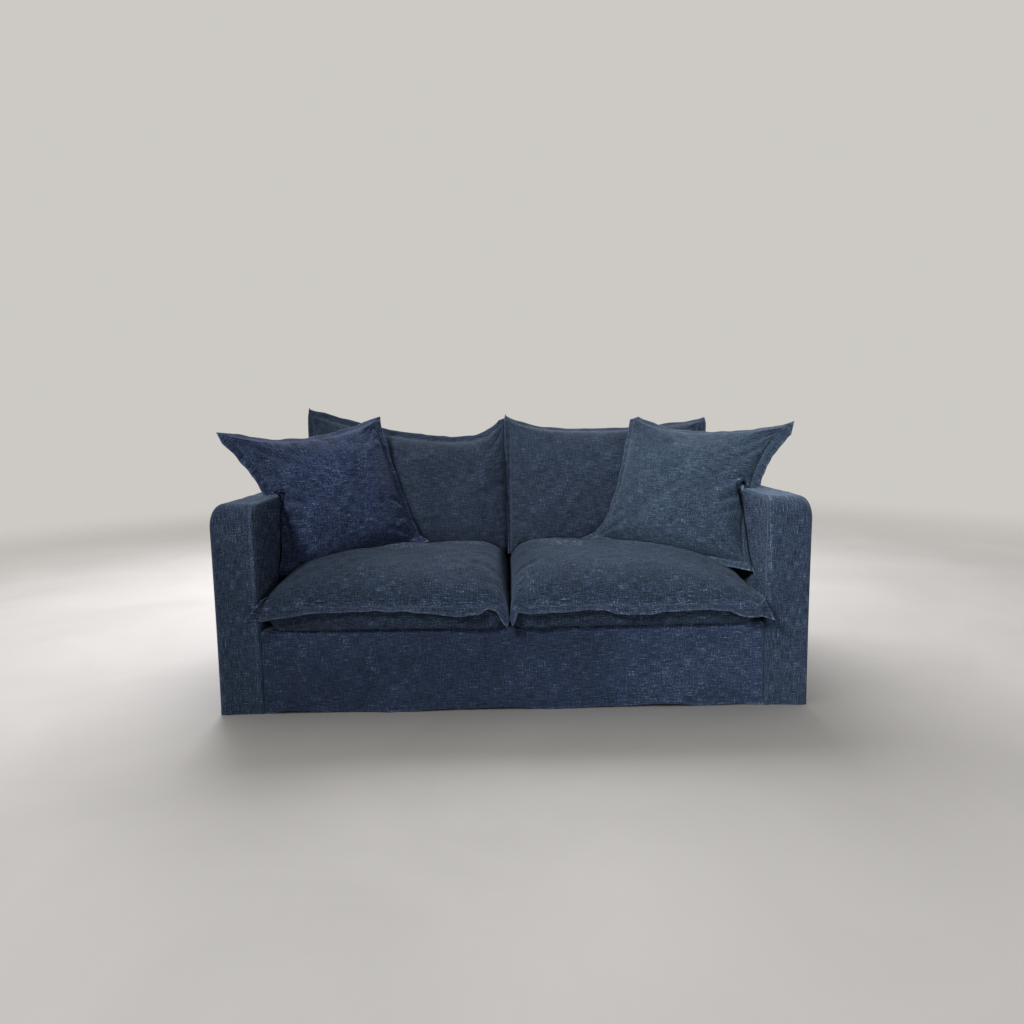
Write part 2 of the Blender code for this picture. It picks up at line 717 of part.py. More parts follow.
def crown_profile(cushion, share, firmness):
    """How full the pad is over its grid: 0 at the seams, 1 near the middle.

    Along each direction it is (1 - |place|^plump)^bevel, with its own plump on each side and the
    place pushed sideways by lean, so the fullest spot need not be the middle.
    """
    place = 2 * share - 1

    def fullness(shift, before, after):
        moved = place + shift * (1 - place**2)
        power = np.where(moved < 0, before, after) * firmness
        return np.maximum(1 - np.abs(moved) ** power, 0.0) ** cushion.bevel

    plump = cushion.plump
    sideways = fullness(-cushion.lean[0], plump[0], plump[1])
    upwards = fullness(-cushion.lean[1], plump[2], plump[3])
    return upwards[:, None] * sideways[None, :]


def cushion_faces(cushion, settle):
    """Front and back faces of a cushion, with its middle surface moved clear by settle first."""
    pad, share = pad_seam_surface(cushion, PAD_STEPS)
    middle = settle(with_flange(cushion, pad, share), FLANGE_CLOTH / 2)
    pad_normal = grid_normals(middle[1:-1, 1:-1])
    half_cloth = grid_normals(middle) * FLANGE_CLOTH / 2
    front = middle + half_cloth
    back = middle - half_cloth
    over = crown_profile(cushion, share, 1.0)[..., None]
    under = crown_profile(cushion, share, cushion.under)[..., None]
    front[1:-1, 1:-1] += cushion.crown_front * over * pad_normal
    back[1:-1, 1:-1] -= cushion.crown_back * under * pad_normal
    return front, back


# Contact. Cushions press on what they touch: points that would reach into it are moved out.


def seat_limits(centre_side):
    """Walls round a seat cushion: deck, inside back, inner face of its arm, and its neighbour."""

    def settle(points, margin):
        out = points.copy()
        gap = CONTACT_GAP + margin
        beside = NEIGHBOUR_GAP + margin
        limit = ARM_INNER - gap
        behind_front = out[..., 1] > -0.010
        out[..., 0] = np.where(behind_front, np.clip(out[..., 0], -limit, limit), out[..., 0])
        if centre_side > 0:
            out[..., 0] = np.minimum(out[..., 0], PARTING_X - beside)
        else:
            out[..., 0] = np.maximum(out[..., 0], PARTING_X + beside)
        out[..., 2] = np.where(behind_front, np.maximum(out[..., 2], DECK_HEIGHT + gap), out[..., 2])
        out[..., 1] = np.minimum(out[..., 1], inside_back_depth(out[..., 2]) - gap)
        return out

    return settle


def back_limits(centre_side):
    """Walls round a back cushion: the inside back below its top, the arm, and its neighbour."""

    def settle(points, margin):
        out = points.copy()
        gap = CONTACT_GAP + margin
        beside = NEIGHBOUR_GAP + margin
        limit = ARM_INNER - gap
        out[..., 0] = np.clip(out[..., 0], -limit, limit)
        low = out[..., 2] < COVER_HEIGHT + 0.03
        rest = inside_back_depth(np.minimum(out[..., 2], COVER_HEIGHT)) - gap
        out[..., 1] = np.where(low, np.minimum(out[..., 1], rest), out[..., 1])
        share = (out[..., 2] - PARTING_FOOT) / PARTING_RISE
        beyond = out[..., 1] - PARTING_DEPTH - PARTING_BACK * share
        parting = PARTING_X - PARTING_LEAN * share + PARTING_SLANT * beyond
        if centre_side > 0:
            out[..., 0] = np.minimum(out[..., 0], parting - beside)
        else:
            out[..., 0] = np.maximum(out[..., 0], parting + beside)
        return out

    return settle


def scatter_limits(side):
    """Walls round a scatter cushion: its arm's inner face below the top, and the top above it."""

    def settle(points, margin):
        out = points.copy()
        gap = ARM_CLEARANCE + margin
        reach = side * out[..., 0] - (ARM_INNER - gap)
        drop = COVER_HEIGHT + gap - out[..., 2]
        inside = (reach > 0) & (drop > 0)
        up = inside & (drop < reach)
        out[..., 2] = np.where(up, COVER_HEIGHT + gap, out[..., 2])
        out[..., 0] = np.where(inside & ~up, side * (ARM_INNER - gap), out[..., 0])
        return out

    return settle


def both_halves(quads):
    """Each quad's triangles on both of its diagonals, since a warped quad may be cut either way."""
    return [
        (quad[i], quad[j], quad[k])
        for quad in quads
        for i, j, k in ((0, 1, 2), (0, 2, 3), (0, 1, 3), (1, 2, 3))
    ]


def solid_tree(things):
    """A search tree over the meshes of things, each grown by the gap that cushions keep."""
    verts = []
    quads = []
    for thing in things:
        start = len(verts)
        verts += [vert.co + vert.normal * CONTACT_GAP for vert in thing.data.vertices]
        quads += [[start + i for i in polygon.vertices] for polygon in thing.data.polygons]
    return BVHTree.FromPolygons(verts, both_halves(quads), all_triangles=True)


def pressed(points, tree, away):
    """Move points along away to the near side of what tree holds, where they lie beyond it."""
    out = points.copy()
    away = Vector(away)
    for point in out.reshape(-1, 3):
        hit = tree.ray_cast(Vector(point) + away * PRESS_REACH, -away)[0]
        if hit is not None and (hit - Vector(point)).dot(away) > 0:
            point[:] = hit
    return out


def keep_thickness(front, back, away):
    """Part the two faces again where both were pressed to one place."""
    least = FLANGE_CLOTH * THINNEST
    apart = front - back
    distance = np.linalg.norm(apart, axis=-1, keepdims=True)
    lack = np.maximum(least - distance, 0.0)
    ahead = (apart @ np.array(away))[..., None] >= 0
    front = front + away * np.where(ahead, lack, 0.0)
    back = back + away * np.where(ahead, 0.0, lack)
    return front, back


def cushion_triangles(steps):
    """Vertex numbers of a cushion's triangles: front grid, back grid, and the rim between."""
    index = np.arange(2 * steps * steps).reshape(2, steps, steps)
    quads = []
    for grid in index:
        corners = np.stack([grid[:-1, :-1], grid[:-1, 1:], grid[1:, 1:], grid[1:, :-1]], axis=-1)
        quads += corners.reshape(-1, 4).tolist()
    rings = [np.concatenate([g[0, :-1], g[:-1, -1], g[-1, :0:-1], g[:0:-1, 0]]) for g in index]
    ahead = [np.roll(ring, -1) for ring in rings]
    quads += np.stack([rings[0], ahead[0], ahead[1], rings[1]], axis=-1).tolist()
    return both_halves(quads)


def pushed_clear(faces, tree, away):
    """Shift the points of faces that cut into what tree holds, a step at a time, until none do.

    Front and back of the flange and the seam move together, so the cloth keeps its thickness.
    """
    points = np.stack(faces)
    steps = points.shape[1]
    triangles = cushion_triangles(steps)
    flange = np.ones((steps, steps), dtype=bool)
    flange[2:-2, 2:-2] = False
    for _ in range(PUSH_ROUNDS):
        own = BVHTree.FromPolygons(points.reshape(-1, 3).tolist(), triangles, all_triangles=True)
        cutting = {mine for mine, other in own.overlap(tree)}
        if not cutting:
            break
        moved = np.zeros((2, steps, steps), dtype=bool)
        moved.reshape(-1)[[corner for face in cutting for corner in triangles[face]]] = True
        moved |= moved.any(axis=0) & flange
        points[moved] += PUSH_STEP * np.array(away)
    return points[0], points[1]


def build_cushions(collection, cover):
    """Make the seat cushions, then the back ones that stand on them, then the scatter ones.

    Each plan names what a cushion leans on, with the way it gives there.
    """
    made = {}
    forward = (0.0, -1.0, 0.0)
    up = (0.0, 0.0, 1.0)
    off_left = (math.sqrt(0.5), 0.0, math.sqrt(0.5))
    off_right = (-math.sqrt(0.5), 0.0, math.sqrt(0.5))
    plans = (
        ("seat_cushion_left", seat_limits(1), "seat", ()),
        ("seat_cushion_right", seat_limits(-1), "seat", ()),
        ("back_cushion_left", back_limits(1), "back", (("seat", up),)),
        ("back_cushion_right", back_limits(-1), "back", (("seat", up),)),
        (
            "scatter_cushion_left",
            scatter_limits(-1),
            "dark_scatter",
            (("seat", up), ("back", forward)),
        ),
        (
            "scatter_cushion_right",
            scatter_limits(1),
            "light_scatter",
            (("seat", up), ("back", forward)),
        ),
    )
    for name, settle, finish, leans in plans:
        faces = cushion_faces(CUSHIONS[name], settle)
        faces = [settle(face, 0.0) for face in faces]
        for kind, away in leans:
            tree = solid_tree([made[k] for k in made if k.startswith(kind)])
            faces = [pressed(face, tree, away) for face in faces]
            faces = keep_thickness(*faces, away)
        walls = {"seat": up, "back": forward, "scatter": off_left if "left" in name else off_right}
        contacts = [([made[k] for k in made if k.startswith(kind)], away) for kind, away in leans]
        contacts.append((cover, walls[name.split("_")[0]]))
        for things, away in contacts * CONTACT_ROUNDS:
            faces = pushed_clear(faces, solid_tree(things), away)
        made[name] = two_faced_object(name, *faces, FINISHES[finish], collection)


def main():
    clear_scene()
    collection = bpy.data.collections.new(COLLECTION)
    bpy.context.scene.collection.children.link(collection)
    cover = build_cover(collection)
    build_cushions(collection, cover)


main()
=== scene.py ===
"""Washed-linen slipcover for a two-seat sofa, with its six flanged feather cushions.

Every piece of cloth is a surface of two parameters, worked out on whole numpy grids and laid over
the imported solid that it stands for. Metres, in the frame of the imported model: +X to the right as
seen from the front, +Y to the back, +Z up. Left and right in the names are as seen from the front.
"""

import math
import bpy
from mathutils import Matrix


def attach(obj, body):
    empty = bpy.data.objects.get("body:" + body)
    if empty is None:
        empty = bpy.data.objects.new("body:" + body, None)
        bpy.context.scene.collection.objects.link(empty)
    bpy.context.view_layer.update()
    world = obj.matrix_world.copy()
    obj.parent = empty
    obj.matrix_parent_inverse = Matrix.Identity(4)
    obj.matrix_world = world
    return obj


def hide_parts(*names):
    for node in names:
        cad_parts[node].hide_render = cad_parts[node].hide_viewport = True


bl_info = {
    "name": "Sofa slipcover",
    "version": (1, 0, 0),
    "blender": (4, 5, 0),
    "location": "View3D > Sidebar > Slipcover",
    "description": "Builds a washed-linen sofa slipcover with flanged feather cushions",
    "category": "Object",
}

from collections import namedtuple
from functools import partial

import bpy
import numpy as np
from mathutils import Matrix, Vector

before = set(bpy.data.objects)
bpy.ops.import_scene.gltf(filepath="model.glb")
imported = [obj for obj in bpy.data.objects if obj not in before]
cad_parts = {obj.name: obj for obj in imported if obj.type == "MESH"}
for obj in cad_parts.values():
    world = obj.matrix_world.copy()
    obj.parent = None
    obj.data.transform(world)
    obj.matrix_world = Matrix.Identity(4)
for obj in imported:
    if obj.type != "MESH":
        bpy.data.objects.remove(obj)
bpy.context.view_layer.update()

# Sizes of the cover. Depths are measured back from the front face of the arms, and ORIGIN_DEPTH
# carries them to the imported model's frame. HEM_ROWS is how far up, and in how many, the rows that
# carry the hem's stitching lie; the ALLOWANCE ones are the pressed strip beside the arm's seam.
COVER_WIDTH = 1.850
COVER_DEPTH = 0.930
COVER_HEIGHT = 0.667
ARM_WIDTH = 0.138
DECK_HEIGHT = 0.270
BACK_FOOT_DEPTH = 0.705
BACK_HEAD_DEPTH = 0.740
FRONT_OVERHANG = 0.055
ORIGIN_DEPTH = (COVER_DEPTH - FRONT_OVERHANG) / 2
CLOTH = 0.0025
SEAM_GAP = 0.0003
TUCK = 0.004
TOP_OUTER_RADIUS = 0.038
FRONT_OUTER_RADIUS = 0.010
SEAM_RADIUS = 0.008
SKIRT_SEAM_RADIUS = 0.003
NOSE_RADIUS = 0.045
DECK_FRONT_RADIUS = 0.015
BACK_TOP_RADIUS = 0.015
BACK_RIM_RADIUS = 0.012
HALF_WIDTH = COVER_WIDTH / 2
ARM_INNER = HALF_WIDTH - ARM_WIDTH
INNER_HALF = ARM_INNER - SEAM_GAP
PANEL_BACK = COVER_DEPTH - BACK_RIM_RADIUS - SEAM_GAP
SHOULDER = COVER_HEIGHT - TOP_OUTER_RADIUS
FRONT_SETBACK = 0.003
HEM_FLARE = 0.006
SLACK = 0.0022
HEM_HEIGHT = 0.022
STITCH_DEPTH, STITCH_WIDTH = 0.0009, 0.0022
HEM_PROUD = 0.0004
HEM_ROWS = (0.036, 14)
HEM_WORN, HEM_EDGE = 0.5, 0.004
ALLOWANCE, ALLOWANCE_INSET, ALLOWANCE_EDGE, ALLOWANCE_PROUD = 0.011, 0.0035, 0.003, 0.0016
GATHER = 0.0022

# Relief of each panel: height and length of its waves and how squashed they are upwards, the same
# for its creases, and how far the creases' seed lies from the waves'.
Relief = namedtuple("Relief", "wave length squash crease crease_length crease_squash step")
RELIEFS = {
    "arm_band": Relief(0.0006, 0.11, 1.0, 0.0005, 0.05, 1.0, 2),
    "inside_arm": Relief(0.0007, 0.10, 1.0, 0.0007, 0.05, 0.4, 3),
    "outside_arm": Relief(0.0010, 0.16, 1.0, 0.0007, 0.06, 0.6, 3),
    "front_panel": Relief(0.0011, 0.11, 0.5, 0.0010, 0.06, 0.6, 4),
}

# Cushions: the gaps that they keep, and the PARTING plane between the two back ones. From its foot
# it leans over the rise, follows the pads back by PARTING_BACK and is slanted by PARTING_SLANT, so
# that one pad overlaps the other as seen from the front. The seats only touch the deck and the
# arms behind SEAT_FRONT, and the backs only the inside back up to BACK_CLEAR above the cover.
FLANGE_CLOTH = 0.004
CONTACT_GAP = 0.0008
NEIGHBOUR_GAP = 0.0003
ARM_CLEARANCE = 0.0012
PARTING_X, PARTING_LEAN = -0.011, 0.010
PARTING_FOOT, PARTING_RISE = 0.42, 0.46
PARTING_DEPTH, PARTING_BACK, PARTING_SLANT = 0.560, 0.070, 0.25
SEAT_FRONT = -0.010
BACK_CLEAR = 0.03
PRESSED_LEAST = 0.7
MITRE_LEAST = 0.45
PAD_STEPS = 137
FLANGE_WAVE = 0.0022
FLANGE_RAGGED = 0.05
RASTER = 0.004
RASTER_CUTS = 3
PUCKER_RUN, FAN_RUN = 0.012, 0.032

# Places across a flange, from its seam to its edge. Half the cloth's thickness on each ring from
# the rim inwards, and how worn each ring is: the edge, then the line of stitches at the seam.
FLANGE_PLACES = (0.10, 0.24, 0.45, 0.70, 0.90, 1.0)
FLANGE_HALVES = (0.0015, 0.0020, 0.0020, 0.0018, 0.0012, 0.0009, 0.0010, 0.0016, 0.0020)
EDGE_WEAR = (1.0, 0.50, 0.06, 0.03, 0.10, 0.46, 0.30, 0.10, 0.04, 0.0)

# Linen: the scale that draws its yarns 1.8 mm apart; how often each kind of slub comes along the
# cloth's two ways in each metre, how strongly it shows and how high it stands; and for each cloth
# its dark and its washed-out yarns, its share of slub, the height of its nap, which also sets how
# much paler a cushion's crown is painted, as rubbed wear and painted sheen, the weight of its
# fluff, and what is made of it.
RIB_SCALE = 2 * math.pi / (20 * 0.0018)
SLUB_SCALES = (
    (1 / 0.0028, 1 / 0.036, 1), (1 / 0.030, 1 / 0.0028, 1), (1 / 0.0030, 1 / 0.0044, 1)
)
SLUB_WEIGHTS = (0.74, 0.48, 0.70)
SLUB_HEIGHTS = (1.6, 1.2, 1.0)
BARE_YARN = "a3abb5"
SHEEN_TINT = (0.45, 0.63, 0.88, 1)
Cloth = namedtuple("Cloth", "deep pale slub nap fluff what")
CLOTHS = {
    "band": Cloth("0a1427", "3a4d69", 1.30, 0.10, 0.34, "the arm bands and back band"),
    "panel": Cloth("081123", "304262", 1.12, 0.08, 0.16, "the flat panels"),
    "inner_arm": Cloth("060f22", "2f4869", 2.30, 0.20, 0.05, "the arms' inner faces"),
    "seat": Cloth("07101d", "30425d", 1.30, 0.85, 0.13, "the seat cushions"),
    "back": Cloth("0d1725", "3b4b65", 1.05, 0.08, 0.15, "the back cushions"),
    "dark_scatter": Cloth("070f26", "3b4e76", 1.50, 0.60, 0.17, "the left scatter cushion"),
    "light_scatter": Cloth("101c2e", "40546b", 1.20, 0.24, 0.17, "the right scatter cushion"),
}

# Camera: place, lens and sensor in millimetres, and turns in degrees. Lamps: name, place, aim,
# size, spread, watts, tint and whether they leave the floor out or light it alone. The room is
# brightest in one direction and dimmest in the other, as beside a window.
CAMERA_PLACE = (-0.014, -2.094 - ORIGIN_DEPTH, 0.920)
CAMERA_LENS = 24.36
CAMERA_SENSOR = 36.0
CAMERA_YAW = -0.41
CAMERA_PITCH = 7.83
CAMERA_ROLL = -0.87
LIGHTS = (
    ("key_softbox", (-2.0, -2.8, 3.1), (1.8, 0.1, 0.35), (1.0, 0.8), 68, 44, "fff9f2", "EXCLUDE"),
    ("fill_softbox", (2.7, -3.7, 1.2), (0.9, 0.0, 0.3), (1.4, 1.0), 80, 11.5, "fcfbf9", "EXCLUDE"),
    ("rear_softbox", (-0.6, 2.5, 2.9), (0.0, -0.5, 0.2), (3.6, 1.6), 150, 66, "fbfaff", None),
    ("floor_softbox", (-1.0, 2.3, 3.0), (-0.2, -0.8, 0), (3.6, 1.6), 150, 33, "fdfcff", "INCLUDE"),
)
ROOM_TOWARDS = (-0.35, 0.60, 0.72)
ROOM_BRIGHT = "b4b2ae"
ROOM_DIM = "3c3c3d"
ROOM_SEEN = "cdcac5"
FLOOR_FADE = (2.4, 6.0)

UP = np.array([0.0, 0.0, 1.0])
FORWARD = np.array([0.0, -1.0, 0.0])
LEFTWARD = np.array([-1.0, 0.0, 0.0])
RIGHTWARD = np.array([1.0, 0.0, 0.0])
SIDES = {"low": np.s_[0, :], "high": np.s_[-1, :], "left": np.s_[:, 0], "right": np.s_[:, -1]}

# Corners: where the pad's seam turns, low left first and anticlockwise, and how much further the
# flange's ear reaches than its mitre. Sides, as in SIDES: how far the seam is drawn in, where
# along the side that is most, how full the curve is, how many degrees the flange is turned towards
# the pad's upper (or front) face, and how wide it is. Ripples: place along the front flange, and
# lift. Folds are soft troughs on the upper face, from one place to another in shares of the pad,
# with the trough's width and depth; a negative depth is a ridge. Crowns are the heights of the
# upper and the under face, under is how much firmer the under one is, and plump, bevel and lean
# shape both. Rubbed says from which share of the pad's height its crown is painted paler, partly
# as rubbed wear and partly as a painted sheen where light grazes the top, and over how much more
# of it that grows to the full.
Side = namedtuple("Side", "draw peak fullness turn flange")
Fold = namedtuple("Fold", "from_s from_t to_s to_t width depth")
Cushion = namedtuple(
    "Cushion",
    "corners sides folds crowns plump bevel lean loft rubbed seed under ripples",
    defaults=(1, ()),
)


def table(kind, *values):
    """Rows of a table as named tuples of one kind."""
    return tuple(kind(*value) for value in values)


CUSHIONS = {
    "seat_cushion_left": Cushion(
        corners=(
            (-0.77, -0.024, 0.352, -0.042, 0, 0.002), (-0.018, -0.028, 0.344, 0.006, 0, -0.002),
            (-0.016, 0.668, 0.352, 0, 0, 0), (-0.774, 0.668, 0.352, 0, 0, 0),
        ),
        sides=table(
            Side, (0.006, 0.5, 2.5, -52, 0.03), (0.01, 0.5, 2.5, 60, 0.02), (0, 0.5, 2.5, 78, 0.02),
            (0, 0.5, 2.5, -80, 0.014),
        ),
        ripples=(
            (0, -0.016), (0.09, -0.006), (0.25, 0.012), (0.42, 0.013), (0.56, 0.011), (0.66, 0.006),
            (0.8, -0.004), (0.88, 0.002), (0.925, 0.02), (0.95, 0.015), (1, -0.035),
        ),
        folds=table(
            Fold, (0.985, 0.16, 0.8, 0.24, 0.016, 0.006), (0.99, 0.34, 0.78, 0.44, 0.02, 0.006),
            (0.97, 0.06, 0.86, 0.1, 0.01, 0.004), (0.05, 0.08, 0.22, 0.2, 0.016, 0.005),
            (0.3, 0.62, 0.62, 0.7, 0.05, 0.004),
        ),
        crowns=(0.118, 0.19), plump=(5, 7, 2.6, 2.6), under=1.7, bevel=0.5, lean=(0.1, -0.05),
        loft=0.0034, rubbed=(0.34, 0.3), seed=11,
    ),
    "seat_cushion_right": Cushion(
        corners=(
            (-0.004, -0.028, 0.344, -0.006, 0, 0), (0.768, -0.024, 0.34, 0.02, 0, 0),
            (0.774, 0.668, 0.352, 0, 0, 0), (-0.006, 0.668, 0.352, 0, 0, 0),
        ),
        sides=table(
            Side, (0.006, 0.5, 2.5, -52, 0.03), (0.01, 0.5, 2.5, 60, 0.02),
            (0, 0.5, 2.5, -80, 0.014), (0, 0.5, 2.5, 78, 0.02),
        ),
        ripples=(
            (0, -0.034), (0.025, 0.01), (0.083, 0.002), (0.17, 0.006), (0.326, 0.013),
            (0.44, -0.003), (0.53, -0.005), (0.63, 0.004), (0.757, 0.01), (0.85, 0.004),
            (0.94, -0.018), (1, -0.015),
        ),
        folds=table(
            Fold, (0.012, 0.18, 0.16, 0.26, 0.016, 0.006), (0.01, 0.4, 0.2, 0.46, 0.02, 0.006),
            (0.03, 0.07, 0.15, 0.13, 0.011, 0.005), (0.96, 0.08, 0.8, 0.2, 0.016, 0.005),
            (0.24, 0.66, 0.52, 0.74, 0.05, 0.004),
        ),
        crowns=(0.126, 0.19), plump=(7, 4.4, 2.6, 2.6), under=1.7, bevel=0.5, lean=(-0.2, -0.05),
        loft=0.0034, rubbed=(0.34, 0.3), seed=23,
    ),
    "back_cushion_left": Cushion(
        corners=(
            (-0.756, 0.56, 0.44, 0, 0, 0), (-0.0145, 0.556, 0.392, 0, 0, 0),
            (-0.0235, 0.632, 0.892, 0.014, 0.002, 0.014), (-0.768, 0.642, 0.932, -0.004, 0, 0.01),
        ),
        sides=table(
            Side, (0.004, 0.5, 2.5, -80, 0.02), (0.08, 0.7, 2.5, -25, 0.028),
            (0.01, 0.5, 2.5, -12, 0.026), (-0.002, 0.5, 2.5, -76, 0.022),
        ),
        folds=table(
            Fold, (0.99, 0.96, 0.84, 0.76, 0.018, 0.006), (0.99, 0.55, 0.86, 0.52, 0.02, 0.004),
            (0.02, 0.97, 0.16, 0.8, 0.018, 0.006),
        ),
        crowns=(0.088, 0.076), plump=(2.8, 5, 3, 2.8), bevel=0.5, lean=(0, -0.12),
        loft=0.005, rubbed=(0.3, 0.5), seed=37,
    ),
    "back_cushion_right": Cushion(
        corners=(
            (-0.002, 0.552, 0.394, 0, 0, 0), (0.756, 0.56, 0.436, 0, 0, 0),
            (0.746, 0.636, 0.888, 0.003, 0, 0.012), (0.002, 0.632, 0.902, 0, 0, 0.01),
        ),
        sides=table(
            Side, (0.004, 0.5, 2.5, -80, 0.02), (0.04, 0.38, 2.4, -55, 0.024),
            (0, 0.5, 2.5, 12, 0.022), (0.01, 0.5, 2.5, -12, 0.026),
        ),
        folds=table(
            Fold, (0.015, 0.96, 0.14, 0.78, 0.018, 0.006), (0.02, 0.55, 0.14, 0.5, 0.02, 0.004),
            (0.98, 0.96, 0.84, 0.8, 0.018, 0.006),
        ),
        crowns=(0.09, 0.076), plump=(4.5, 2.8, 3, 2.8), bevel=0.5, lean=(0, -0.12),
        loft=0.005, rubbed=(0.3, 0.5), seed=41,
    ),
    "scatter_cushion_left": Cushion(
        corners=(
            (-0.75, 0.2, 0.43, 0, 0, 0), (-0.356, 0.436, 0.48, 0.016, 0.008, 0.006),
            (-0.506, 0.524, 0.908, 0.015, 0, 0.014), (-0.952, 0.276, 0.868, -0.02, 0, 0.03),
        ),
        sides=table(
            Side, (-0.004, 0.5, 2.5, 10, 0.026), (0.046, 0.5, 2, -48, 0.026),
            (0.058, 0.46, 2.4, -35, 0.034), (0.012, 0.45, 2.2, -25, 0.032),
        ),
        folds=table(
            Fold, (0.02, 0.97, 0.26, 0.7, 0.02, 0.011), (0.02, 0.82, 0.22, 0.62, 0.015, 0.008),
            (0.01, 0.7, 0.18, 0.58, 0.012, 0.006), (0.01, 0.48, 0.2, 0.42, 0.013, 0.014),
            (0.01, 0.42, 0.17, 0.35, 0.012, -0.007), (0.01, 0.36, 0.14, 0.27, 0.011, 0.01),
            (0.99, 0.3, 0.86, 0.36, 0.01, 0.01), (0.99, 0.24, 0.86, 0.27, 0.01, -0.006),
            (0.99, 0.18, 0.85, 0.18, 0.011, 0.011), (0.98, 0.03, 0.8, 0.14, 0.014, 0.009),
            (0.98, 0.97, 0.8, 0.78, 0.02, 0.008), (0.6, 0.99, 0.5, 0.82, 0.03, 0.005),
            (0.03, 0.03, 0.16, 0.14, 0.018, 0.006),
        ),
        crowns=(0.088, 0.062), plump=(2.5, 2.5, 2.6, 2.4), bevel=0.55, lean=(0.05, -0.1),
        loft=0.006, rubbed=(0.44, 0.3), seed=53,
    ),
    "scatter_cushion_right": Cushion(
        corners=(
            (0.318, 0.43, 0.48, -0.056, 0.006, -0.002), (0.764, 0.134, 0.434, 0.02, -0.036, 0.006),
            (0.95, 0.312, 0.87, 0.014, 0.002, 0.04), (0.47, 0.524, 0.904, 0.003, 0, -0.003),
        ),
        sides=table(
            Side, (-0.002, 0.5, 2.5, 10, 0.026), (0.046, 0.42, 2, -48, 0.026),
            (0.032, 0.3, 2.2, -30, 0.024), (0.056, 0.54, 2.4, -35, 0.036),
        ),
        folds=table(
            Fold, (0.98, 0.97, 0.74, 0.72, 0.022, 0.01), (0.98, 0.84, 0.8, 0.64, 0.015, 0.008),
            (0.99, 0.58, 0.8, 0.54, 0.012, 0.009), (0.99, 0.52, 0.8, 0.46, 0.012, -0.006),
            (0.99, 0.46, 0.78, 0.36, 0.013, 0.013), (0.99, 0.36, 0.82, 0.25, 0.014, 0.007),
            (0.02, 0.03, 0.2, 0.19, 0.014, 0.01), (0.01, 0.16, 0.15, 0.24, 0.011, 0.009),
            (0.01, 0.3, 0.13, 0.34, 0.012, 0.006), (0.02, 0.97, 0.2, 0.8, 0.02, 0.008),
            (0.97, 0.03, 0.84, 0.14, 0.018, 0.008), (0.4, 0.99, 0.46, 0.84, 0.03, 0.005),
        ),
        crowns=(0.09, 0.062), plump=(2.5, 2.5, 2.6, 2.4), bevel=0.55, lean=(-0.05, -0.1),
        loft=0.006, rubbed=(0.2, 0.5), seed=67,
    ),
}

# Front panel: rows up its face and over its turned edge, and its creases, as folds.
FRONT_ROWS = 49
FRONT_TURN = 7
FRONT_CREASES = table(
    Fold, (0.010, 0.10, 0.060, 0.42, 0.011, 0.0022), (0.022, 0.04, 0.110, 0.30, 0.014, 0.0020),
    (0.045, 0.02, 0.150, 0.14, 0.012, 0.0016), (0.988, 0.12, 0.950, 0.40, 0.012, 0.0020),
    (0.975, 0.04, 0.900, 0.22, 0.014, 0.0016), (0.012, 0.96, 0.060, 0.70, 0.013, 0.0018),
    (0.988, 0.96, 0.945, 0.72, 0.013, 0.0018),
)


# Small helpers, all on whole arrays.


def ease(value, run=1.0):
    """0 to 1 over a run, with flat ends: 3 v^2 - 2 v^3 of the clipped share of the run."""
    value = np.clip(value / run, 0.0, 1.0)
    return value * value * (3 - 2 * value)


def bell(value, width):
    """1 at nought, fading both ways: e^-(v / width)^2."""
    return np.exp(-((value / width) ** 2))


def unit(vectors):
    """Vectors of length one."""
    return vectors / np.maximum(np.linalg.norm(vectors, axis=-1, keepdims=True), 1e-9)


def spans(start, *stretches):
    """Grid places from start on, by stretches of (end, steps), each cut evenly into its steps."""
    places = [np.array([start])]
    for end, steps in stretches:
        places.append(np.linspace(start, end, steps + 1)[1:])
        start = end
    return np.concatenate(places)


def turned(distance, radius):
    """Depth below a face of an edge rounded off over its last radius: r - sqrt(r^2 - (r - d)^2)."""
    inside = np.clip(radius - distance, 0.0, radius)
    return radius - np.sqrt(np.maximum(radius**2 - inside**2, 0.0))


def eased_between(places, knots, values):
    """Values between knots, eased so that each knot is a crest, a trough or a level spot."""
    index = np.clip(np.searchsorted(knots, places, side="right") - 1, 0, len(knots) - 2)
    start, end = np.array(knots)[index], np.array(knots)[index + 1]
    part = ease((places - start) / (end - start))
    return np.array(values)[index] * (1 - part) + np.array(values)[index + 1] * part


def grid_normals(points):
    """Unit normals of a grid: the step across its columns, crossed with the step up its rows."""
    return unit(np.cross(np.gradient(points, axis=1), np.gradient(points, axis=0)))


def cloth_lengths(points):
    """Cloth coordinates (u, v) in metres: mean length run along the columns and along the rows."""
    runs = []
    for axis in (0, 1):
        steps = np.linalg.norm(np.diff(points, axis=1 - axis), axis=-1).mean(axis=axis)
        runs.append(np.concatenate([[0.0], np.cumsum(steps)]))
    return np.meshgrid(*runs)


def waviness(u, v, length, seed, count=11):
    """Soft unevenness of about -1 to 1: sines of nearly one wavelength, in seeded directions."""
    rng = np.random.default_rng(seed)
    angle = rng.uniform(0, 2 * math.pi, count)
    size = length * rng.uniform(0.7, 1.5, count)
    phase = rng.uniform(0, 2 * math.pi, count)
    run = u[..., None] * np.cos(angle) + v[..., None] * np.sin(angle)
    return np.sin(2 * math.pi * run / size + phase).sum(axis=-1) / math.sqrt(count)


def rumple(u, v, length, seed):
    """Unevenness with crests sharper than its hollows, as creased cloth has: 1 - 2 |waviness|."""
    return 0.6 - np.abs(waviness(u, v, length, seed)) + 0.4 * waviness(u, v, length * 0.6, seed + 1)


def cloth_relief(panel, u, v, seed):
    """A panel's own unevenness: its waves and, on top, its creases, as its row of RELIEFS says."""
    row = RELIEFS[panel]
    creases = rumple(u, row.crease_squash * v, row.crease_length, seed + row.step)
    return row.wave * waviness(u, row.squash * v, row.length, seed) + row.crease * creases


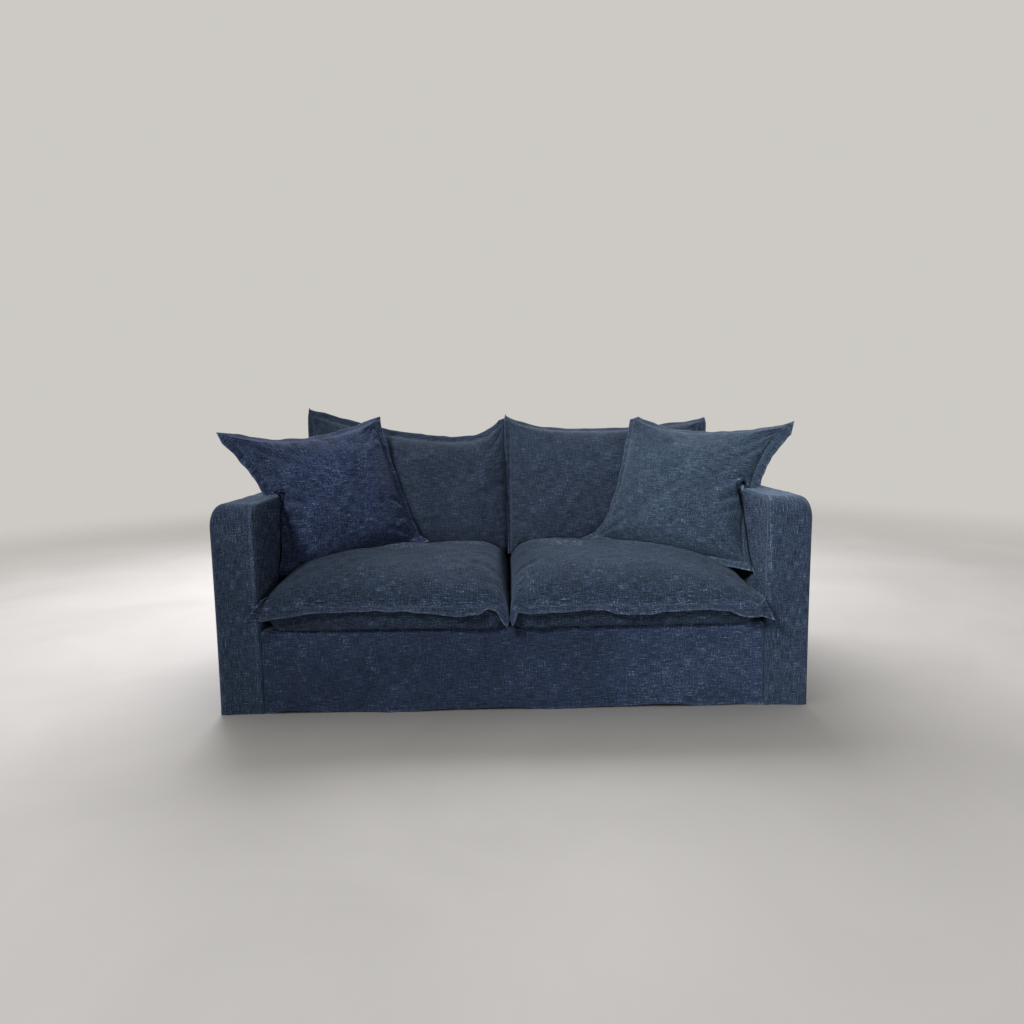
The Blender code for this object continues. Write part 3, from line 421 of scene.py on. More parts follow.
def trough(s, t, size_s, size_t, fold):
    """One fold: a bell across its line with a low lip each side, fading out at both its ends."""
    line = np.array([(fold.to_s - fold.from_s) * size_s, (fold.to_t - fold.from_t) * size_t])
    away_s = (s - fold.from_s) * size_s
    away_t = (t - fold.from_t) * size_t
    reach = np.hypot(*line)
    along = (away_s * line[0] + away_t * line[1]) / reach**2
    beside = (away_s * line[1] - away_t * line[0]) / reach
    fade = ease(along + 0.12, 0.25) * ease(1.08 - along, 0.75)
    profile = 1.35 * bell(beside, fold.width) - 0.35 * bell(beside, 2.4 * fold.width)
    return -fold.depth * profile * fade


def slack(across, along, phase):
    """Uneven slack of washed cloth: three low waves, none at the sides, 0 to 1 along both."""
    wave = (
        np.sin(5.3 * across + 2.1 * along + phase)
        + 0.7 * np.sin(2.7 * across - 6.4 * along + 1.7 * phase)
        + 0.5 * np.sin(11.0 * across + 3.0 * along + 0.6 * phase)
    )
    return SLACK * np.sin(np.pi * np.clip(across, 0, 1)) ** 0.6 * wave


def hem_line(v):
    """Groove of the hem's stitching, a narrow bell HEM_HEIGHT above the hem, which stands proud."""
    groove = STITCH_DEPTH * bell(v - HEM_HEIGHT, STITCH_WIDTH)
    return groove - HEM_PROUD * ease(HEM_HEIGHT - v, 0.003)


# Meshes.


def quads_of(rows, columns, start):
    """Corner numbers of a grid's faces, turned so that they face along its normals."""
    index = start + np.arange(rows * columns).reshape(rows, columns)
    corners = (index[:-1, :-1], index[:-1, 1:], index[1:, 1:], index[1:, :-1])
    return np.stack(corners, axis=-1).reshape(-1, 4)


def ring_of(rows, columns, start):
    """Corner numbers round a grid's rim, once round."""
    index = start + np.arange(rows * columns).reshape(rows, columns)
    return np.concatenate([index[0, :-1], index[:-1, -1], index[-1, :0:-1], index[:0:-1, 0]])


def two_faced_mesh(name, front, back, wear_and_light, material, grain):
    """One closed piece from its two faces: front grid, back grid turned round, and the rim between.

    Its cloth map holds metres of cloth, so a weave keeps its size and follows the folds, and the
    thick yarns run up the piece or across it, as grain says. Its attributes, 0 to 1, hold wear and
    painted light: one where edges and seams have lost colour, and where a panel is painted lighter
    in place of light; another where its crown is paler, partly rubbed and partly a painted sheen.
    """
    size = front.shape[:2]
    count = size[0] * size[1]
    rings = [ring_of(*size, 0), ring_of(*size, count)]
    rim = np.stack([*rings, *(np.roll(ring, -1) for ring in rings[::-1])], axis=-1)
    faces = np.concatenate([quads_of(*size, 0), quads_of(*size, count)[:, ::-1], rim])
    mesh = bpy.data.meshes.new(name)
    mesh.vertices.add(2 * count)
    mesh.vertices.foreach_set("co", np.concatenate([front.ravel(), back.ravel()]))
    mesh.loops.add(faces.size)
    mesh.loops.foreach_set("vertex_index", faces.ravel())
    mesh.polygons.add(len(faces))
    mesh.polygons.foreach_set("loop_start", np.arange(0, faces.size, 4))
    mesh.update(calc_edges=True)
    lengths = [cloth_lengths(face)[:: 1 if grain == "up" else -1] for face in (front, back)]
    cloth = np.concatenate([np.stack(pair, axis=-1).reshape(-1, 2) for pair in lengths])
    mesh.uv_layers.new(name="cloth").data.foreach_set("uv", cloth[faces.ravel()].ravel())
    for kind, amount in wear_and_light.items():
        layer = mesh.attributes.new(kind, "FLOAT", "POINT")
        layer.data.foreach_set("value", np.tile(amount.ravel(), 2).astype(np.float32))
    mesh.materials.append(material)
    mesh.shade_smooth()
    mesh.validate()
    piece = bpy.data.objects.new(name, mesh)
    bpy.context.scene.collection.objects.link(piece)
    return piece


def placed(points):
    """Carry points from depths behind the arms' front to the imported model's frame."""
    return points + ORIGIN_DEPTH * FORWARD


def flared(points):
    """Spread the skirt a little towards the hem, as cut cloth hangs, the same for every panel."""
    spread = 1 + HEM_FLARE * np.clip(1 - points[..., 2] / COVER_HEIGHT, 0.0, 1.0) ** 2
    out = points.copy()
    out[..., 0] *= spread
    out[..., 1] = COVER_DEPTH / 2 + (points[..., 1] - COVER_DEPTH / 2) * spread
    return out


def rounded_sheet(columns, rows, corner_radius, corners):
    """Flat outline with round top corners, as places (p, q) on a columns x rows grid.

    In the square block at a round corner the grid's squares become quarter circles.
    """
    p, q = np.meshgrid(columns, rows)
    for side in corners:
        edge = columns[0] if side < 0 else columns[-1]
        centre_p = edge - side * corner_radius
        centre_q = rows[-1] - corner_radius
        out_p = np.maximum(side * (p - centre_p), 0.0)
        out_q = np.maximum(q - centre_q, 0.0)
        block = (out_p > 1e-9) & (out_q > 1e-9)
        reach = np.maximum(out_p, out_q)
        part = np.minimum(out_p, out_q) / np.where(reach > 0, reach, 1.0) * math.pi / 4
        angle = np.where(out_q > out_p, math.pi / 2 - part, part)
        p = np.where(block, centre_p + side * reach * np.cos(angle), p)
        q = np.where(block, centre_q + reach * np.sin(angle), q)
    return p, q


# The cover's panels. Each function returns its outer face's grid of points, and how worn they are;
# on the front panel that also holds painted light.


def arm_band_surface(seed):
    """Arm's long band: the side outline (front line, quarter-round nose, top line) swept across
    the arm, set in at both edges by the depth of their turned radius, plus slack.

    The last centimetre before the inner seam stands proud: the seam allowance pressed under it.
    """
    quarter = math.pi / 2
    outer = TOP_OUTER_RADIUS * (1 - np.cos(np.linspace(0, quarter, 11)))
    inner = ARM_WIDTH - SEAM_RADIUS * (1 - np.cos(np.linspace(0, quarter, 6)))
    middle = spans(outer[-1], (ARM_WIDTH - 0.026, 9), (inner[-1], 9))[1:-1]
    across = np.concatenate([outer, middle, inner[::-1]])
    from_inner = ARM_WIDTH - across
    share = across / ARM_WIDTH
    strip = ease(from_inner - ALLOWANCE_INSET, ALLOWANCE_EDGE)
    strip = strip * ease(ALLOWANCE_INSET + ALLOWANCE + ALLOWANCE_EDGE - from_inner, ALLOWANCE_EDGE)
    seam_set = turned(from_inner, SEAM_RADIUS) - ALLOWANCE_PROUD * strip
    front = turned(across, FRONT_OUTER_RADIUS) + seam_set
    top = COVER_HEIGHT - turned(across, TOP_OUTER_RADIUS) - seam_set
    foot = spans(0.0, (0.06, 16), (1.0, 64))[:, None]
    nose = np.linspace(0.0, quarter, 17)[1:, None]
    run = np.linspace(0, 1, 110)[1:, None]
    up_z = foot * (top - NOSE_RADIUS)
    tight = turned(from_inner, SKIRT_SEAM_RADIUS) - turned(from_inner, SEAM_RADIUS)
    up_y = front + tight * (1 - ease(up_z - DECK_HEIGHT + 0.045, 0.045))
    up_y = up_y - slack(share, foot, 0.8) * ease(4 * (1 - foot))
    nose_y = front + NOSE_RADIUS * (1 - np.cos(nose))
    nose_z = top - NOSE_RADIUS * (1 - np.sin(nose))
    start = front + NOSE_RADIUS
    sway = slack(share, run, 2.6) * np.sin(np.pi * run)
    y = np.concatenate([up_y, nose_y, start + run * (PANEL_BACK - start)])
    z = np.concatenate([up_z, nose_z, top + sway])
    points = np.stack([-HALF_WIDTH + across + 0 * y, y, z], axis=-1)
    u, v = cloth_lengths(points)
    relief = cloth_relief("arm_band", u, v, seed) * ease(across, 0.02) * ease(from_inner, 0.03)
    relief = relief - hem_line(v)
    worn = strip * (0.10 + 0.35 * ease(z - 0.30, 0.20)) + HEM_WORN * bell(v, HEM_EDGE)
    return points + relief[..., None] * grid_normals(points), worn


def inside_arm_surface(seed):
    """Arm's inner face: a flat outline with a round front corner, bowed inwards by its slack."""
    head = COVER_HEIGHT - SEAM_RADIUS - SEAM_GAP
    start = SEAM_RADIUS + SEAM_GAP
    radius = NOSE_RADIUS - SEAM_GAP
    length = BACK_HEAD_DEPTH + TUCK - start
    columns = spans(0.0, (radius, 10), (length, 80))
    rows = spans(DECK_HEIGHT - TUCK, (head - radius, 42), (head, 10))
    p, q = rounded_sheet(columns, rows, radius, (-1,))
    below_top = 1 - (q - DECK_HEIGHT) / (COVER_HEIGHT - DECK_HEIGHT)
    lean = (BACK_HEAD_DEPTH - BACK_FOOT_DEPTH) * below_top
    y = start + p - lean * ease(p - radius, length - radius)
    high = (q - DECK_HEIGHT) / (head - DECK_HEIGHT)
    bow = slack(p / length, high, 1.9) * np.sin(np.pi * np.clip(high, 0, 1)) ** 0.5
    edge = ease(np.minimum(np.minimum(p, length - p), head - q), 0.04)
    pull = cloth_relief("inside_arm", p, q, seed)
    x = -ARM_INNER - np.maximum(0.001 + np.abs(bow) - pull, 0.0) * edge
    return np.stack([x, y, q], axis=-1), 0.25 * (1 - ease(head - q, 0.01))


def outside_arm_surface(seed):
    """Arm's outer face: a flat outline with a round front corner, with slack square to it."""
    head = SHOULDER - SEAM_GAP
    start = FRONT_OUTER_RADIUS + SEAM_GAP
    radius = NOSE_RADIUS - SEAM_GAP
    length = PANEL_BACK - start
    columns = spans(0.0, (radius, 10), (length, 100))
    rows = spans(0.0, HEM_ROWS, (head - radius, 56), (head, 10))
    p, q = rounded_sheet(columns, rows, radius, (-1,))
    edge = ease(np.minimum(np.minimum(p, length - p), head - q), 0.05)
    ripple = cloth_relief("outside_arm", p, q, seed)
    x = -HALF_WIDTH - (slack(p / length, q / head, 4.1) + ripple) * edge + hem_line(q)
    worn = HEM_WORN * bell(q, HEM_EDGE)
    return np.stack([x, start + p, q], axis=-1)[:, ::-1], worn[:, ::-1]


def turned_ends(steps):
    """Places across the room between the arms, even but for short steps over each turned end."""
    turn = SEAM_RADIUS * (1 - np.cos(np.linspace(0, math.pi / 2, 6)))
    middle = np.linspace(-INNER_HALF + SEAM_RADIUS, INNER_HALF - SEAM_RADIUS, steps)[1:-1]
    return np.concatenate([turn - INNER_HALF, middle, INNER_HALF - turn[::-1]])


def turn_angles(steps):
    """Angles of the rows that turn a panel's top edge from upright to flat."""
    return np.linspace(0.0, math.pi / 2, steps + 1)[1:]


def front_rim(facing):
    """Which way a side rim of the front panel faces: outwards, and up where its top turns."""
    angle = np.concatenate([np.zeros(FRONT_ROWS), turn_angles(FRONT_TURN)])[:, None]
    return np.cos(angle) * facing + np.sin(angle) * UP


def front_panel_surface(seed):
    """Skirt between the arms: an upright line and a quarter turn onto the deck, swept across, with
    slack, a wandering hem and soft upright flutes that die out towards the top."""
    across = turned_ends(190)
    from_side = INNER_HALF - np.abs(across)
    side = turned(from_side, SKIRT_SEAM_RADIUS)
    share = ((across + INNER_HALF) / (2 * INNER_HALF))[None, :]
    turn = turn_angles(FRONT_TURN)[:, None]
    foot = spans(0.0, (0.16, 20), (1.0, FRONT_ROWS - 21))[:, None]
    inner = ease(from_side, 0.08)
    hem = (0.004 + 0.003 * np.sin(17.0 * share + 0.6) + 0.002 * np.sin(41.0 * share)) * inner
    up_z = hem + foot * (DECK_HEIGHT - DECK_FRONT_RADIUS - hem)
    flutes = 0.0025 * np.sin(23.0 * share + 1.0) * (1 - foot) ** 2 * inner
    wave = slack(share, foot, 0.3) * 1.3 + flutes
    u = share * 2 * INNER_HALF
    wave = wave + inner * (cloth_relief("front_panel", u, up_z, seed) - hem_line(up_z - hem) * 1.2)
    for crease in FRONT_CREASES:
        wave = wave + trough(share, foot, 2 * INNER_HALF, DECK_HEIGHT, crease)
    gathered = np.clip(0.5 + 0.5 * waviness(u, 0 * u, 0.055, seed + 40), 0, 1) * inner
    up_y = FRONT_SETBACK + side - wave * ease(5 * (1 - foot))
    up_y = up_y + GATHER * gathered * ease(foot - 0.80, 0.2)
    turn_y = FRONT_SETBACK + (side + GATHER * gathered) * np.cos(turn)
    turn_y = turn_y + DECK_FRONT_RADIUS * (1 - np.cos(turn))
    turn_z = DECK_HEIGHT - DECK_FRONT_RADIUS * (1 - np.sin(turn)) - 0.0030 * gathered * np.sin(turn)
    y = np.concatenate([up_y, turn_y])
    z = np.concatenate([up_z, turn_z])
    worn = 0.6 * bell(z - 0.004, 0.004) + 0.25 * ease(z - DECK_HEIGHT + 0.02, 0.01)
    # Painted light: the panel is painted paler towards its right end, and a little towards its left
    # end.
    worn = worn + 0.40 * ease(share - 0.58, 0.25) + 0.16 * ease(0.30 - share, 0.25)
    return np.stack([across + 0 * y, y, z], axis=-1), worn


def deck_surface(seed):
    """Platform under the seat cushions: a flat rectangle, hollowed by a millimetre of give."""
    front = FRONT_SETBACK + DECK_FRONT_RADIUS + SEAM_GAP
    back = BACK_FOOT_DEPTH - SEAM_GAP
    x, y = np.meshgrid(np.linspace(-INNER_HALF, INNER_HALF, 120), np.linspace(front, back, 56))
    edge = ease(np.minimum(INNER_HALF - np.abs(x), np.minimum(y - front, back - y)), 0.05)
    z = DECK_HEIGHT - 0.0008 * edge * (1 + waviness(x, y, 0.12, seed))
    return np.stack([x, y, z], axis=-1), 0 * x


def inside_back_depth(z):
    """Depth of the leaning inside back at a height: a straight line between its foot and head."""
    share = (z - DECK_HEIGHT) / (COVER_HEIGHT - DECK_HEIGHT)
    return BACK_FOOT_DEPTH + (BACK_HEAD_DEPTH - BACK_FOOT_DEPTH) * share


def inside_back_surface(seed):
    """Leaning panel behind the back cushions: its line with a quarter turn on top, swept across."""
    turn = turn_angles(7)
    rise = np.linspace(DECK_HEIGHT - TUCK, COVER_HEIGHT - BACK_TOP_RADIUS, 34)
    depth = inside_back_depth(rise)
    y = np.concatenate([depth, depth[-1] + BACK_TOP_RADIUS * (1 - np.cos(turn))])
    z = np.concatenate([rise, COVER_HEIGHT - BACK_TOP_RADIUS * (1 - np.sin(turn))])
    across = np.linspace(-INNER_HALF, INNER_HALF, 140)
    x, y = np.meshgrid(across, y)
    z = np.repeat(z[:, None], len(across), axis=1)
    edge = ease(INNER_HALF - np.abs(x), 0.05) * ease(rise[-1] - z, 0.05)
    y = y + 0.0012 * edge * np.abs(waviness(x, z, 0.14, seed))
    return np.stack([x, y, z], axis=-1), 0.3 * ease(z - COVER_HEIGHT + 0.012, 0.01)


def back_band_surface(seed):
    """Strip along the top of the back, flat, with its two ends turned down, and slack."""
    start = inside_back_depth(COVER_HEIGHT - BACK_TOP_RADIUS) + BACK_TOP_RADIUS + SEAM_GAP
    x, y = np.meshgrid(turned_ends(150), np.linspace(start, PANEL_BACK, 22))
    share = (y - start) / (PANEL_BACK - start)
    ripple = slack((x + INNER_HALF) / (2 * INNER_HALF), share, 3.3) * np.sin(np.pi * share)
    fine = 0.0008 * np.abs(waviness(x, y, 0.09, seed)) * np.sin(np.pi * share)
    z = COVER_HEIGHT - turned(INNER_HALF - np.abs(x), SEAM_RADIUS) - np.abs(ripple) - fine
    return np.stack([x, y, z], axis=-1), 0.4 * bell(share, 0.04)


def outside_back_surface(seed):
    """Whole rear face: a flat sheet with round top corners and a rim that turns forward."""
    face = TOP_OUTER_RADIUS - BACK_RIM_RADIUS
    turn = face + BACK_RIM_RADIUS * np.sin(math.pi / 2 * np.arange(1, 7) / 6)
    block = np.concatenate([np.linspace(0.0, face, 5), turn])
    start = HALF_WIDTH - TOP_OUTER_RADIUS
    middle = np.linspace(-start, start, 150)[1:-1]
    columns = np.concatenate([-start - block[::-1], middle, start + block])
    rows = np.concatenate([spans(0.0, HEM_ROWS, (SHOULDER, 48))[:-1], SHOULDER + block])
    p, q = rounded_sheet(columns, rows, TOP_OUTER_RADIUS, (-1, 1))
    reach = np.hypot(np.maximum(np.abs(p) - start, 0.0), np.maximum(q - SHOULDER, 0.0))
    edge = ease(face - reach, face)
    loose = np.abs(slack((p + HALF_WIDTH) / COVER_WIDTH, q / COVER_HEIGHT, 5.2))
    loose = loose + 0.0012 * np.abs(waviness(p, q, 0.18, seed))
    loose = loose + 0.0006 * np.abs(rumple(p, 0.6 * q, 0.07, seed + 5))
    y = COVER_DEPTH - turned(TOP_OUTER_RADIUS - reach, BACK_RIM_RADIUS) - loose * edge - hem_line(q)
    worn = HEM_WORN * bell(q, HEM_EDGE) + 0.3 * ease(reach - 0.03, 0.008)
    return np.stack([p, y, q], axis=-1)[:, ::-1], worn[:, ::-1]


def tray_rim(points):
    """Which way the rear face's rim faces at each point: square to its outline, in plane X-Z."""
    x, z = points[..., 0], points[..., 2]
    out_x = np.sign(x) * np.maximum(np.abs(x) - HALF_WIDTH + TOP_OUTER_RADIUS, 0.0)
    return unit(np.stack([out_x, 0 * x, np.maximum(z - SHOULDER, 0.0)], axis=-1))


def sew(context, node, surface, cloth, held, mirror=False, grain="up", finish="", **rims):
    """Sew one panel from its surface's points and wear, with any painted light, as a thin sheet that
    stands for its solid.

    Its inner face lies CLOTH behind its outer one. rims name the sides whose cloth is turned over
    an edge, each with the way its rim faces, so that neighbouring rims meet square. A mirrored
    panel has its columns turned round so that it still faces out.
    """
    points, worn = surface
    outer = flared(points)
    normal = grid_normals(outer)
    for side, facing in rims.items():
        normal[SIDES[side]] = facing
    faces = [placed(outer), placed(outer - CLOTH * normal)]
    worn = worn + 0 * points[..., 0]
    if mirror:
        faces = [face[:, ::-1] * np.array([-1.0, 1.0, 1.0]) for face in faces]
        worn = worn[:, ::-1]
    material = cloth_of(context, finish or cloth)
    piece = two_faced_mesh("cloth_" + node, *faces, {"worn": worn}, material, grain)
    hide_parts(node)
    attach(piece, "root")


# Cushions: a Coons patch between drawn-in seams, a flange round it, and a crown on both faces.


def bump(share, peak, fullness):
    """A curve that is 0 at both ends and 1 at peak: a parabola at fullness 2, flatter above it."""
    even = share * (1 - peak) / (peak * (1 - share) + share * (1 - peak))
    return 1 - np.abs(2 * even - 1) ** fullness


def pad_places():
    """Places 0 to 1 along a pad's side, a third even and two thirds crowded to the corners."""
    even = np.linspace(0, 1, PAD_STEPS)
    return 0.35 * even + 0.65 * (1 + np.sin(np.pi * (even - 0.5))) / 2


def pad_seam_surface(cushion):
    """The pad's middle surface: a Coons patch between its four drawn-in seams."""
    low_left, low_right, high_right, high_left = (np.array(c[:3]) for c in cushion.corners)
    across = unit(low_right + high_right - low_left - high_left)
    normal = unit(np.cross(across, high_left + high_right - low_left - low_right))
    up = np.cross(normal, across)
    share = pad_places()
    starts = (low_left, high_left, low_left, low_right)
    ends = (low_right, high_right, high_left, high_right)
    outwards = (-up, up, -across, across)
    seams = []
    for start, end, outward, side in zip(starts, ends, outwards, cushion.sides):
        drawn = side.draw * bump(share, side.peak, side.fullness)[:, None]
        seams.append(start + share[:, None] * (end - start) - outward * drawn)
    low, high, left, right = seams
    s, t = share[None, :, None], share[:, None, None]
    ruled = (1 - t) * low[None] + t * high[None] + (1 - s) * left[:, None] + s * right[:, None]
    foot, head = (1 - s) * low_left + s * low_right, (1 - s) * high_left + s * high_right
    return ruled - ((1 - t) * foot + t * head), share


def with_flange(cushion, pad, share):
    """Add rows and columns of flange round the pad, square to its seam and mitred at the corners.

    Each side's flange is turned towards the pad's upper face by its own angle, waves a little
    more towards its edge, and the front one is lifted and dropped by its ripples. A corner block
    is corner + a side + b low + a b (tip - side - low), with a and b the places on its two sides.
    """
    normal = grid_normals(pad)
    up = np.cross(normal, np.gradient(pad, axis=1))
    across = np.cross(np.gradient(pad, axis=0), normal)
    calm = ease(np.minimum(share, 1 - share), 0.07)
    reaches, waves = [], []
    rims = zip(SIDES.values(), (-up, up, -across, across), cushion.sides)
    for number, (rim, outward, side) in enumerate(rims, 1):
        face, out = normal[rim], unit(outward[rim])
        turn = math.radians(side.turn)
        wave = waviness(share * 0.7, 0 * share, 0.12, cushion.seed + number) * calm * FLANGE_WAVE
        ragged = FLANGE_RAGGED * waviness(share * 0.7, 0 * share, 0.06, cushion.seed + number + 30)
        leaf = math.cos(turn) * out + math.sin(turn) * face
        reaches.append((side.flange * (1 + ragged))[:, None] * leaf)
        waves.append(wave[:, None] * (math.cos(turn) * face - math.sin(turn) * out))
    low, high, left, right = reaches
    if cushion.ripples:
        low = low + eased_between(share, *zip(*cushion.ripples))[:, None] * UP

    edge = len(FLANGE_PLACES)
    a, b = np.array(FLANGE_PLACES)[None, :, None], np.array(FLANGE_PLACES)[:, None, None]
    before, within, after = np.s_[edge - 1 :: -1], np.s_[edge:-edge], np.s_[-edge:]
    whole = np.zeros((len(share) + 2 * edge, len(share) + 2 * edge, 3))
    whole[within, within] = pad
    whole[before, within] = pad[0] + b * low + b**2 * waves[0]
    whole[after, within] = pad[-1] + b * high + b**2 * waves[1]
    whole[within, before] = pad[:, :1] + a * left[:, None] + a**2 * waves[2][:, None]
    whole[within, after] = pad[:, -1:] + a * right[:, None] + a**2 * waves[3][:, None]
    blocks = ((0, 0, left, low), (0, -1, right, low), (-1, -1, right, high), (-1, 0, left, high))
    for (row, column, side, end), corner in zip(blocks, cushion.corners):
        side, end = side[row], end[column]
        mitre = (end + side) / max(1 + unit(end) @ unit(side), MITRE_LEAST)
        block = pad[row, column] + a * side + b * end
        block = block + a * b * (mitre + np.array(corner[3:]) - side - end)
        whole[after if row else before, after if column else before] = block
    return whole


def rings_in(size):
    """How many rings each grid point lies inside the rim."""
    index = np.minimum(np.arange(size), np.arange(size)[::-1])
    return np.minimum(index[:, None], index[None, :])


def crown_profile(cushion, share, firmness):
    """How full the pad is over its grid: 0 at the seams, 1 near the middle.

    Along each direction it is (1 - |place|^plump)^bevel, with its own plump on each side and the
    place pushed sideways by lean, so the fullest spot need not be the middle.
    """
    place = 2 * share - 1
    profiles = []
    for lean, before, after in zip(cushion.lean, cushion.plump[::2], cushion.plump[1::2]):
        moved = place - lean * (1 - place**2)
        power = np.where(moved < 0, before, after) * firmness
        profiles.append(np.maximum(1 - np.abs(moved) ** power, 0.0) ** cushion.bevel)
    return profiles[1][:, None] * profiles[0][None, :]


def rubbed_and_sheen_crown(cushion):
    """Crown painted paler in drifts, partly rubbed wear and partly painted sheen, most where
    fullest.
    """
    share = pad_places()
    s, t = np.meshgrid(share, share)
    drifts = 0.5 + 0.6 * waviness(s * 0.7, t * 0.6, 0.16, cushion.seed + 60)
    start, run = cushion.rubbed
    crown = crown_profile(cushion, share, 0.6)
    return np.clip(drifts, 0.0, 1.0) * crown**2 * ease(t - start, run)


def pad_relief(cushion, share, size, shapes):
    """Height of a pad's creases over its crown, in metres.

    It adds lumps of feather, puckers square to each seam, r e^(1 - r) high at r PUCKER_RUNs from
    it, creases that fan out from each corner in the same way, and the folds of its table.
    """
    s, t = np.meshgrid(share, share)
    x, y = s * size[0], t * size[1]
    far_x, far_y = size[0] - x, size[1] - y
    nearest = np.minimum(np.minimum(x, far_x), np.minimum(y, far_y))
    seed = cushion.seed
    lumps = 0.8 * waviness(x, y, 0.20, seed) + 0.45 * rumple(x, y, 0.085, seed + 1)
    relief = cushion.loft * shapes.loft * lumps * ease(nearest, 0.09)
    for number, (along, away) in enumerate(((x, y), (x, far_y), (y, x), (y, far_x))):
        wave = waviness(along, 0.18 * away, 0.034, seed + 10 + number)
        strength = 1 + 0.5 * waviness(along, 0 * away, 0.16, seed + 20 + number)
        run = away / PUCKER_RUN
        relief = relief + shapes.pucker * wave * strength * run * np.exp(1 - run)
    for number, (dx, dy) in enumerate(((x, y), (far_x, y), (far_x, far_y), (x, far_y))):
        run = np.hypot(dx, dy) / FAN_RUN
        fan = np.cos(13.0 * np.arctan2(dy, dx) + 1.3 * number + 0.4 * run)
        relief = relief + 1.2 * shapes.pucker * fan * run * np.exp(1 - run)
    for fold in cushion.folds:
        relief = relief + trough(s, t, *size, fold)
    return relief * ease(nearest, 0.006)


def cushion_faces(cushion, settle, shapes):
    """Front and back faces of a cushion, with its middle surface moved clear by settle first.

    The two cloths of the flange lie close together at its seam and part towards its edge.
    """
    pad, share = pad_seam_surface(cushion)
    size = [run.max() for run in cloth_lengths(pad)]
    middle = settle(with_flange(cushion, pad, share), FLANGE_CLOTH / 2)
    edge = len(FLANGE_PLACES)
    inner = np.s_[edge:-edge, edge:-edge]
    pad_normal = grid_normals(middle[inner])
    ring = np.minimum(rings_in(len(middle)), len(FLANGE_HALVES) - 1)
    half_cloth = grid_normals(middle) * np.array(FLANGE_HALVES)[ring][..., None]
    under = cushion._replace(seed=cushion.seed + 500, folds=())
    firmnesses = (1.0, cushion.under)
    faces = []
    for way, made, crown, firmness in zip((1, -1), (cushion, under), cushion.crowns, firmnesses):
        height = crown * crown_profile(cushion, share, firmness)
        height = height + pad_relief(made, share, size, shapes)
        faces.append(middle + way * half_cloth)
        faces[-1][inner] += way * np.maximum(height, 0.0)[..., None] * pad_normal
    return faces


# Contact. Cushions press on what they touch: points that would reach into it are moved out. The
# limits keep points a gap and a margin off the walls, on the left (side -1) or the right (side 1).


def seat_limits(side, points, margin):
    """Walls round a seat cushion: deck, inside back, inner face of its arm, and its neighbour."""
    x, y, z = np.moveaxis(points, -1, 0)
    gap = CONTACT_GAP + margin
    limit = ARM_INNER - gap
    behind_front = y > SEAT_FRONT
    x = np.where(behind_front, np.clip(x, -limit, limit), x)
    x = PARTING_X + side * np.maximum(side * (x - PARTING_X), NEIGHBOUR_GAP + margin)
    z = np.where(behind_front, np.maximum(z, DECK_HEIGHT + gap), z)
    return np.stack([x, np.minimum(y, inside_back_depth(z) - gap), z], axis=-1)


def back_limits(side, points, margin):
    """Walls round a back cushion: the inside back below its top, the arm, and its neighbour."""
    x, y, z = np.moveaxis(points, -1, 0)
    gap = CONTACT_GAP + margin
    limit = ARM_INNER - gap
    rest = inside_back_depth(np.minimum(z, COVER_HEIGHT)) - gap
    y = np.where(z < COVER_HEIGHT + BACK_CLEAR, np.minimum(y, rest), y)
    share = (z - PARTING_FOOT) / PARTING_RISE
    beyond = y - PARTING_DEPTH - PARTING_BACK * share
    parting = PARTING_X - PARTING_LEAN * share + PARTING_SLANT * beyond
    beside = side * (np.clip(x, -limit, limit) - parting)
    x = parting + side * np.maximum(beside, NEIGHBOUR_GAP + margin)
    return np.stack([x, y, z], axis=-1)


def scatter_limits(side, points, margin):
    """Walls round a scatter cushion: its arm's inner face, the round edge above it, and its top."""
    out = points.copy()
    reach = side * out[..., 0] - (ARM_INNER + SEAM_RADIUS)
    height = out[..., 2] - (COVER_HEIGHT - SEAM_RADIUS)
    need = SEAM_RADIUS + (ARM_CLEARANCE + margin)
    distance = np.hypot(reach, height)
    corner = (reach < 0) & (height > 0) & (distance < need)
    grow = np.where(corner, need / np.maximum(distance, 1e-4), 1.0)
    on_top = (reach >= 0) & (height < need) & (height > reach - need)
    beside = ~corner & ~on_top & (height <= 0) & (reach > -need)
    reach = np.where(beside, -need, reach * grow)
    height = np.where(on_top, need, height * grow)
    out[..., 0] = side * (reach + ARM_INNER + SEAM_RADIUS)
    out[..., 2] = height + COVER_HEIGHT - SEAM_RADIUS
    return out


def relief_map(grids, along):
    """Highest reach of finished cushions along one direction, on a raster of RASTER squares.

    Their faces are cut RASTER_CUTS times finer by straight lines between grid points, and each
    square keeps the furthest of them. Squares that nothing falls in stay at minus infinity.
    """
    pieces = []
    for grid in grids:
        for axis in (0, 1):
            last = grid.shape[axis] - 1
            places = np.linspace(0, last, RASTER_CUTS * last + 1)
            low = np.minimum(places.astype(int), last - 1)
            part = np.expand_dims(places - low, (1 - axis, 2))
            grid = grid.take(low, axis) * (1 - part) + grid.take(low + 1, axis) * part
        pieces.append(grid.reshape(-1, 3))
    cloud = np.concatenate(pieces)
    axes = [axis for axis in range(3) if abs(along[axis]) < 0.5]
    start = cloud[:, axes].min(axis=0) - 2 * RASTER
    cell = ((cloud[:, axes] - start) / RASTER).astype(int)
    raster = np.full(cell.max(axis=0) + 3, -np.inf)
    np.maximum.at(raster, (cell[:, 0], cell[:, 1]), cloud @ along)
    return raster, start, axes


